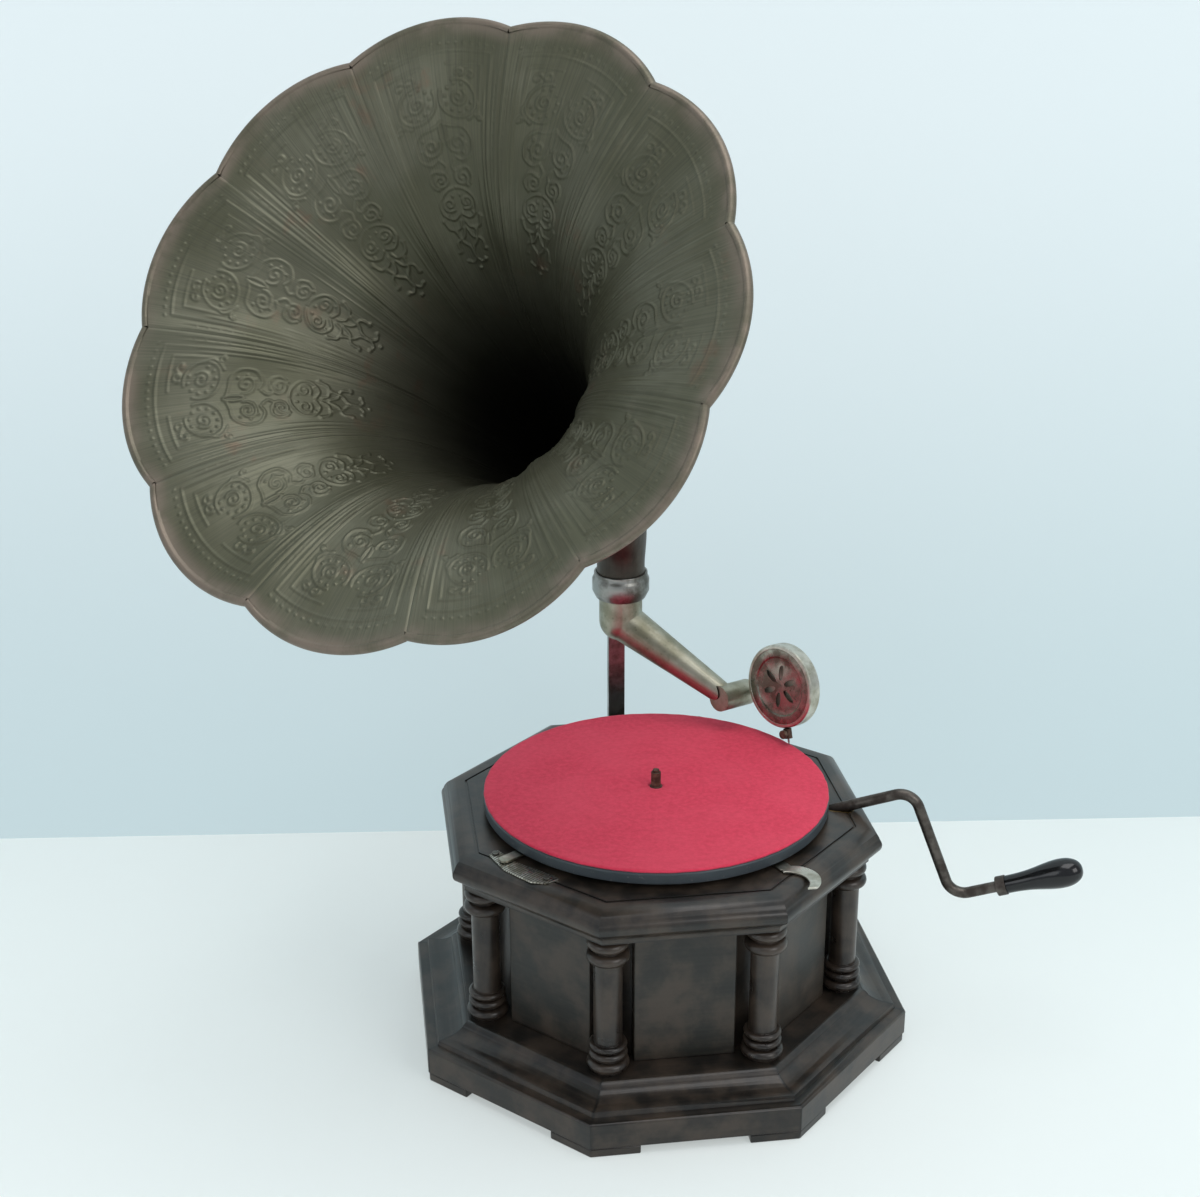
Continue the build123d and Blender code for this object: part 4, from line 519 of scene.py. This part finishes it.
def relief(u, s, half_width):
    """Height of the pressed ornament: scrolls, dots, a mitred frame, bead rows and drawn lines."""
    x = np.abs(u) * half_width
    strokes, dots = scrollwork()
    near = s[:, :1].ravel() < ORNAMENT_END
    height = np.zeros_like(x)
    height[near] = STROKE_HEIGHT * ridge(nearest(x[near], s[near], strokes), STROKE_WIDTH)
    for dot_x, dot_s, radius in dots:
        gap = np.hypot(x - dot_x, s - dot_s)
        height = np.maximum(height, 0.95 * ridge(gap, radius * 1.35))
    # Bead row along the rim
    bead = np.hypot((x + BEAD_PITCH / 2) % BEAD_PITCH - BEAD_PITCH / 2, s - BEAD_ROW)
    height = np.maximum(height, 0.75 * ridge(bead, 1.45) * (np.abs(u) < 0.88))
    # Frame: two lines that follow the rim and turn down beside the seams
    for line, side, stop, tall in FRAME_LINES:
        bow = ridge(s - line, STROKE_WIDTH) * (np.abs(u) < side + 0.012)
        if side < 0.7:
            bow = bow * (np.abs(u) > 0.16)
        flank = ridge((np.abs(u) - side) * half_width, STROKE_WIDTH) * (s > line - 0.5)
        height = np.maximum(height, tall * np.maximum(bow, flank * np.clip((stop - s) / 20, 0, 1)))
    # Drawn lines along the seams
    for side, start, stop, tall in SEAM_LINES:
        rise = np.clip((s - start) / 8, 0, 1) * np.clip((stop - s) / 30, 0, 1)
        height = np.maximum(height, tall * ridge((np.abs(u) - side) * half_width, 1.05) * rise)
    # Dots between the drawn lines
    gap = np.hypot((np.abs(u) - 0.915) * half_width, (s + 4) % 8 - 4)
    height = np.maximum(height, 0.45 * ridge(gap, 1.2) * (s > 34) * (s < 96))
    return height


def petal_profile():
    """Depth of each row, by its distance along the petal's middle from the rim."""
    depth = np.linspace(0, PETAL_LENGTH, PROFILE_SAMPLES)
    radius = flare(depth)
    middle = radius + LOBE_HEIGHT * (radius / SEAM_RADIUS) ** LOBE_FADE
    run = np.concatenate([[0], np.cumsum(np.hypot(np.diff(depth), np.diff(middle)))])
    fine = np.arange(RIM_START, ORNAMENT_END, FINE_STEP)
    spare = run[-1] - fine[-1]
    count = int(np.ceil(spare / COARSE_STEP))
    count += -(len(fine) - 1 + count) % BACK_EVERY
    rows = np.concatenate([fine, fine[-1] + spare * np.arange(1, count + 1) / count])
    return rows, np.interp(rows, run, depth)


def petal_mesh(seed, height, rows, depth, u):
    """A petal's closed shell about the horn's axis: front, rolled rim, back, and both seam edges."""
    rng = np.random.default_rng(seed)
    seam = flare(depth)
    centre, radius, half = lobe_arc(seam, LOBE_HEIGHT * (seam / SEAM_RADIUS) ** LOBE_FADE)
    half = half * (1 - SEAM_GAP / 2 / (radius * half))
    slope = np.gradient(seam, depth)
    lean = np.sqrt(1 + slope ** 2)
    inward, forward = (-1 / lean)[:, None], (-slope / lean)[:, None]
    angle = half[:, None] * u[None]
    phase = rng.uniform(0, 2 * pi, 6)
    s = rows[:, None]
    soft = np.sin(s / 17 + phase[0] + 2 * u * pi) + np.sin(s / 31 + phase[1]) * np.cos(3 * u + phase[2])
    worn = 0.78 + 0.22 * np.sin(s / 23 + phase[3]) * np.sin(2.3 * u * pi + phase[4])
    edge = np.clip((rows - RIM_START) / 12, 0, 1)[:, None] * (1 - u[None] ** 8)
    lift = height * worn + 0.22 * soft * edge
    to_seam = (1 - np.abs(u[None])) * pi / PETALS * seam[:, None]
    lift = lift - GROOVE_DEPTH * ridge(to_seam, GROOVE_WIDTH)

    def wall(rows_used, offset):
        """The rows' surface, moved towards the mouth by an offset."""
        r = radius[rows_used, None] + inward[rows_used] * offset
        z = -depth[rows_used, None] + forward[rows_used] * offset
        a = angle[rows_used]
        return np.stack([centre[rows_used, None] + r * np.cos(a), r * np.sin(a), z + 0 * a], -1)

    every = np.arange(len(rows))
    third = every[::BACK_EVERY]
    front = wall(every[::-1], lift[::-1])
    back = wall(third, lift[third] - PETAL_WALL)
    rim_centre, rim_radius, rim_half = lobe_arc(SEAM_RADIUS - BEAD_RADIUS, LOBE_HEIGHT)
    rim_half = rim_half * (1 - SEAM_GAP / 2 / (rim_radius * rim_half))
    roll = np.radians(np.linspace(128, -150, 12))[:, None]
    r = rim_radius + BEAD_RADIUS * np.cos(roll)
    a = rim_half * u[None]
    bead = np.stack([rim_centre + r * np.cos(a), r * np.sin(a), BEAD_RADIUS * (np.sin(roll) - 1) + 0 * a], -1)
    loop = np.concatenate([front, bead, back])
    rows_all, columns = loop.shape[:2]
    index = np.arange(rows_all * columns).reshape(rows_all, columns)
    quads = np.stack(
        [index[:, :-1], index[:, 1:], np.roll(index, -1, 0)[:, 1:], np.roll(index, -1, 0)[:, :-1]], -1
    ).reshape(-1, 4).tolist()
    fronts, beads = len(front), len(bead)
    for column, flip in ((0, 1), (columns - 1, -1)):
        line = index[:, column]
        face = line[:fronts][::-1]
        rear = line[fronts + beads:]
        for k in range(len(third) - 1):
            ring = [*face[BACK_EVERY * k:BACK_EVERY * (k + 1) + 1].tolist(), int(rear[k + 1]), int(rear[k])]
            quads.append(ring[::flip])
        quads.append(line[fronts - 1:fronts + beads + 1].tolist()[::-flip])
    along = np.concatenate([rows[::-1], np.linspace(RIM_START, 0, beads), rows[third]])
    flat = 0 * loop[..., 0]
    uv = np.stack([(seed * 0.13 + flat) + u[None] * 0.057, along[:, None] * MM + flat], -1)
    return loop.reshape(-1, 3), quads, uv.reshape(-1, 2)


def horn_axes():
    """Rows: across, up the mouth, and out along the horn's axis."""
    out = np.array([
        cos(HORN_ELEVATION) * cos(HORN_AZIMUTH), cos(HORN_ELEVATION) * sin(HORN_AZIMUTH), sin(HORN_ELEVATION)
    ])
    across = np.cross([0, 0, 1], out)
    across /= np.linalg.norm(across)
    return np.array([across, np.cross(out, across), out])


def build_horn(material):
    """Eleven petals round the mouth, each pressed from the same ornament."""
    rows, depth = petal_profile()
    u = np.linspace(-1, 1, COLUMNS)
    half_width = pi / PETALS * flare(depth)[:, None]
    height = relief(u[None] + 0 * half_width, rows[:, None] + 0 * u[None], half_width)
    axes = horn_axes()
    step = 2 * pi / PETALS
    for k in range(PETALS):
        verts, faces, uv = petal_mesh(k + 1, height, rows, depth, u)
        turn = FIRST_SEAM + step * (k + 0.5)
        spun = np.stack([
            verts[:, 0] * cos(turn) - verts[:, 1] * sin(turn),
            verts[:, 0] * sin(turn) + verts[:, 1] * cos(turn),
            verts[:, 2],
        ], 1)
        placed = MOUTH_CENTRE + spun @ axes
        name = f"petal_{k + 1}"
        new_piece(name + "_embossed", placed, faces, "horn", material, name, 50.0, uv)


# Turntable

def build_felt(material):
    """Ring-shaped felt: rounded outer edge, its top rising and falling by tenths of a millimetre."""
    low = felt_low[2] / MM
    top = low + FELT_THICKNESS
    radii = np.concatenate([
        [FELT_HOLE], np.linspace(FELT_HOLE + 0.6, FELT_RADIUS - 1.2, FELT_RINGS),
        [FELT_RADIUS - 0.4, FELT_RADIUS],
        [FELT_RADIUS, FELT_RADIUS - 0.3], np.linspace(FELT_RADIUS - 1.2, FELT_HOLE, FELT_UNDER_RINGS),
    ])
    levels = np.concatenate([
        [top - 0.5], np.full(FELT_RINGS, top), [top - 0.25, top - 0.9],
        [low + 0.5, low + 0.02], np.full(FELT_UNDER_RINGS, low),
    ])
    angle = np.arange(FELT_TURNS) / FELT_TURNS * 2 * pi
    a, r = angle[None], radii[:, None]
    swell = np.sin(r / 9 + 2 * np.sin(3 * a)) + np.sin(5 * a + r / 21) + np.sin(11 * a - r / 13)
    lift = np.where(levels[:, None] == top, -0.1 + 0.033 * swell, 0.0)
    wobble = 0.12 * np.sin(37 * a) + 0.1 * np.sin(61 * a + 1) - 0.22
    spread = r + np.where(r > FELT_RADIUS - 2, wobble, 0.0)
    loop = np.stack([spread * np.cos(a), spread * np.sin(a), levels[:, None] + lift], -1)
    index = np.arange(loop.shape[0] * FELT_TURNS).reshape(-1, FELT_TURNS)
    down = np.roll(index, -1, 0)
    quads = np.stack([index, down, np.roll(down, -1, 1), np.roll(index, -1, 1)], -1).reshape(-1, 4)
    verts, faces = loop.reshape(-1, 3), quads.tolist()
    felt = new_piece("felt_disc", verts, faces, "turntable", material, "felt", 60.0)


# Stage, light and camera

def build_stage():
    """White table and pale wall, each with a painted light falloff and a painted glow, and soft light from
    above and in front.
    """
    scene = bpy.context.scene
    wall_y = float(SPINDLE[1]) + WALL_DISTANCE

    def sheet(name, corners, near, far, axis, low, high, glow):
        mesh = bpy.data.meshes.new(name)
        mesh.from_pydata(corners, [], [(0, 1, 2, 3)])
        piece = bpy.data.objects.new(name, mesh)
        scene.collection.objects.link(piece)
        shader = Shader(name)
        # painted light falloff: the colour runs from near to far along one axis, so the wall is darker
        # towards the bottom and the table darker towards the back
        shade = shader.blend(shader.step(shader.split(shader.place())[axis], low, high), near, far)
        # painted light: camera, glossy and transmission rays see the sheet partly as emission, by the glow
        # share, so it glows though it is no lamp
        path = shader.tree.nodes.new("ShaderNodeLightPath")
        seen = Socket(shader, path.outputs["Is Camera Ray"]).math(
            "MAXIMUM", Socket(shader, path.outputs["Is Glossy Ray"]).math(
                "MAXIMUM", Socket(shader, path.outputs["Is Transmission Ray"])))
        diffuse = shader.node("ShaderNodeBsdfDiffuse", None, {"Color": shade})
        light = shader.node("ShaderNodeEmission", None, {"Color": shade, "Strength": 1.0})
        mixed = shader.node("ShaderNodeMixShader", None, [seen * glow, diffuse, light])
        shader.put(shader.output.inputs["Surface"], mixed)
        mesh.materials.append(shader.material)

    rise = STAGE_REACH * tan(WALL_TURN)
    left, right = (-STAGE_REACH, wall_y + rise), (STAGE_REACH, wall_y - rise)
    sheet("table", [(-STAGE_REACH, TABLE_FRONT, 0), (STAGE_REACH, TABLE_FRONT, 0), (*right, 0), (*left, 0)],
          (0.88, 0.93, 0.915), (0.84, 0.905, 0.895), 1, -0.6, 0.4, 0.45)
    sheet("wall", [(*left, 0), (*right, 0), (*right, WALL_HEIGHT), (*left, WALL_HEIGHT)],
          (0.60, 0.735, 0.77), (0.80, 0.90, 0.93), 2, 0.0, 0.75, 0.75)

    world = bpy.data.worlds.new("room")
    scene.world = world
    world.use_nodes = True
    world.node_tree.nodes["Background"].inputs["Color"].default_value = (0.86, 0.93, 1.0, 1.0)
    world.node_tree.nodes["Background"].inputs["Strength"].default_value = 0.5
    lamps = (
        ("overhead", (0.2, -0.2, 2.6), (0.0, 0.0, 0.2), 2.4, 1.6, 34.0, (1.0, 1.0, 1.0)),
        ("front right", (1.7, -2.2, 1.9), (0.0, 0.0, 0.4), 1.6, 1.6, 26.0, (1.0, 0.99, 0.97)),
        ("front left", (-2.4, -1.6, 1.5), (-0.1, 0.0, 0.4), 1.4, 1.4, 9.0, (0.93, 0.97, 1.0)),
    )
    for name, place, aim, size_x, size_y, power, tint in lamps:
        lamp = bpy.data.lights.new(name, "AREA")
        lamp.shape = "RECTANGLE"
        lamp.size, lamp.size_y, lamp.energy, lamp.color = size_x, size_y, power, tint
        holder = bpy.data.objects.new(name, lamp)
        scene.collection.objects.link(holder)
        holder.location = place
        holder.rotation_euler = (Vector(aim) - Vector(place)).to_track_quat("-Z", "Y").to_euler()
    scene.view_settings.view_transform = "Standard"


def build_camera():
    """Camera at the fitted angle, its distance set from the fitted target."""
    az, el = radians(VIEW_AZIMUTH), radians(VIEW_ELEVATION)
    forward = np.array([-sin(az) * cos(el), cos(az) * cos(el), -sin(el)])
    right = np.cross(forward, [0, 0, 1])
    right /= np.linalg.norm(right)
    up = np.cross(right, forward)
    target = SPINDLE / MM + right * VIEW_RIGHT + up * VIEW_HEIGHT
    eye = target - forward * VIEW_DISTANCE
    roll = radians(VIEW_ROLL)
    right, up = right * cos(roll) + up * sin(roll), up * cos(roll) - right * sin(roll)
    camera = bpy.data.cameras.new("view")
    camera.sensor_width = SENSOR
    camera.lens = FOCAL_PIXELS / IMAGE_WIDTH * SENSOR
    camera.clip_start = 0.05
    holder = bpy.data.objects.new("view", camera)
    bpy.context.scene.collection.objects.link(holder)
    turned = Matrix((right, up, -forward)).transposed().to_4x4()
    holder.matrix_world = Matrix.Translation(eye * MM) @ turned
    bpy.context.scene.camera = holder


# Assembly

def dress_cabinet():
    dark = wood("stained wood", (0.0075, 0.0068, 0.006), (0.021, 0.0175, 0.0145), 0.28)
    panel = wood("panel wood", (0.0105, 0.0105, 0.0085), (0.023, 0.022, 0.0175), 0.36)
    turned = wood("turned wood", (0.0085, 0.0065, 0.0055), (0.04, 0.027, 0.019), 0.26, True)
    for node, material, bevel in (
        ("plinth_moulding", dark, 1.0), ("plinth_feet", dark, 1.0), ("bottom_board", dark, 0.6),
        ("side_panels", panel, 0.8), ("corner_posts", dark, 0.6), ("columns", turned, 0.5),
        ("top_board", dark, 1.2),
    ):
        dressed(node, "cabinet", material, bevel, 32.0)


def dress_metal():
    nickel = old_metal("tarnished nickel", (0.40, 0.385, 0.31), (0.235, 0.225, 0.16), 0.34, 0.5, 0.52, 28.0)
    bright = old_metal("bright nickel", (0.6, 0.58, 0.51), (0.36, 0.34, 0.27), 0.26, 0.42, 0.56, 60.0)
    upright = old_metal("blackened nickel", (0.33, 0.33, 0.31), (0.12, 0.115, 0.10), 0.32, 0.5, 0.5, 45.0)
    face = old_metal("soundbox face", (0.36, 0.345, 0.29), (0.15, 0.135, 0.105), 0.16, 0.34, 0.5, 60.0)
    steel = old_metal("oiled steel", (0.42, 0.42, 0.42), (0.2, 0.19, 0.17), 0.25, 0.45, 0.5)
    rusty = old_metal("rusty steel", (0.16, 0.10, 0.07), (0.075, 0.04, 0.028), 0.4, 0.75, 0.45, 200.0, 0.5)
    brown = old_metal("brown steel", (0.12, 0.105, 0.092), (0.055, 0.044, 0.038), 0.32, 0.55, 0.5, 90.0, 0.75)
    brass = old_metal("dull brass", (0.58, 0.42, 0.16), (0.3, 0.2, 0.08), 0.25, 0.5, 0.5)
    slate = painted("slate paint", (0.042, 0.052, 0.060), (0.2, 0.2, 0.19), 0.34)
    black = painted("black lacquer", (0.006, 0.006, 0.007), (0.03, 0.025, 0.02), 0.1)
    mica = painted("mica", (0.5, 0.45, 0.36), (0.4, 0.36, 0.3), 0.12)
    record = frame["record"]
    body_of = {node: body for body, nodes in record["behaviour"]["bodies"].items() for node in nodes}
    slots = {row["node"]: row["material_slot"] for row in record["subparts"]}
    shown = {
        "tonearm": (nickel, 0.3), "crosspiece": (nickel, 0.5), "gooseneck": (nickel, 0.3),
        "soundbox_case": (bright, 0.6), "soundbox_face": (face, 0.3), "horn_collar": (upright, 0.5),
        "back_bracket": (upright, 1.2), "brake_lever": (bright, 0.3), "speed_lever": (bright, 0.3),
        "speed_plate": (hatched_plate("hatched nickel"), 0.2), "speed_plate_screws": (upright, 0.2),
        "bracket_screws": (upright, 0.3), "stylus_bar": (rusty, 0.2), "needle_screw": (rusty, 0.3),
        "needle": (steel, 0.0), "platter": (slate, 0.5), "spindle": (rusty, 0.2), "crank_rod": (brown, 0.4),
        "handle_ferrule": (brown, 0.4), "crank_handle": (black, 0.5), "crank_bush": (brass, 0.3),
        "diaphragm": (mica, 0.0),
    }
    for node, (material, bevel) in shown.items():
        dressed(node, body_of[node], material, bevel)
    inner = {"brass": brass, "steel": steel}
    for node, piece in frame["nodes"].items():
        if node not in shown and slots[node] in inner:
            piece.data.materials.clear()
            piece.data.materials.append(inner[slots[node]])


def dress_neck():
    """The elbow and neck behind the petals, darker than they are."""
    shader = Shader("neck metal")
    place = shader.place()
    broad = shader.noise(place, 30.0, 5.0, 0.6)
    streak = shader.noise(shader.mapped(place, (500.0, 500.0, 18.0)), 1.0, 4.0)
    base = shader.blend(shader.step(broad, 0.35, 0.65), (0.034, 0.028, 0.022), (0.085, 0.07, 0.052))
    base = shader.blend(shader.step(streak, 0.4, 0.7, 0.0, 0.5), base, (0.025, 0.021, 0.017))
    rough = shader.step(broad, 0.3, 0.7, 0.3, 0.5)
    material = shader.finish(base, rough, 0.6, shader.bump(streak, 0.2, 0.0003))
    dressed("horn_elbow", "horn", material, 0.0, 40.0)


build_camera()
build_stage()
dress_cabinet()
dress_metal()
dress_neck()
build_felt(felt_cloth("crimson felt"))
build_horn(horn_metal("olive horn metal"))
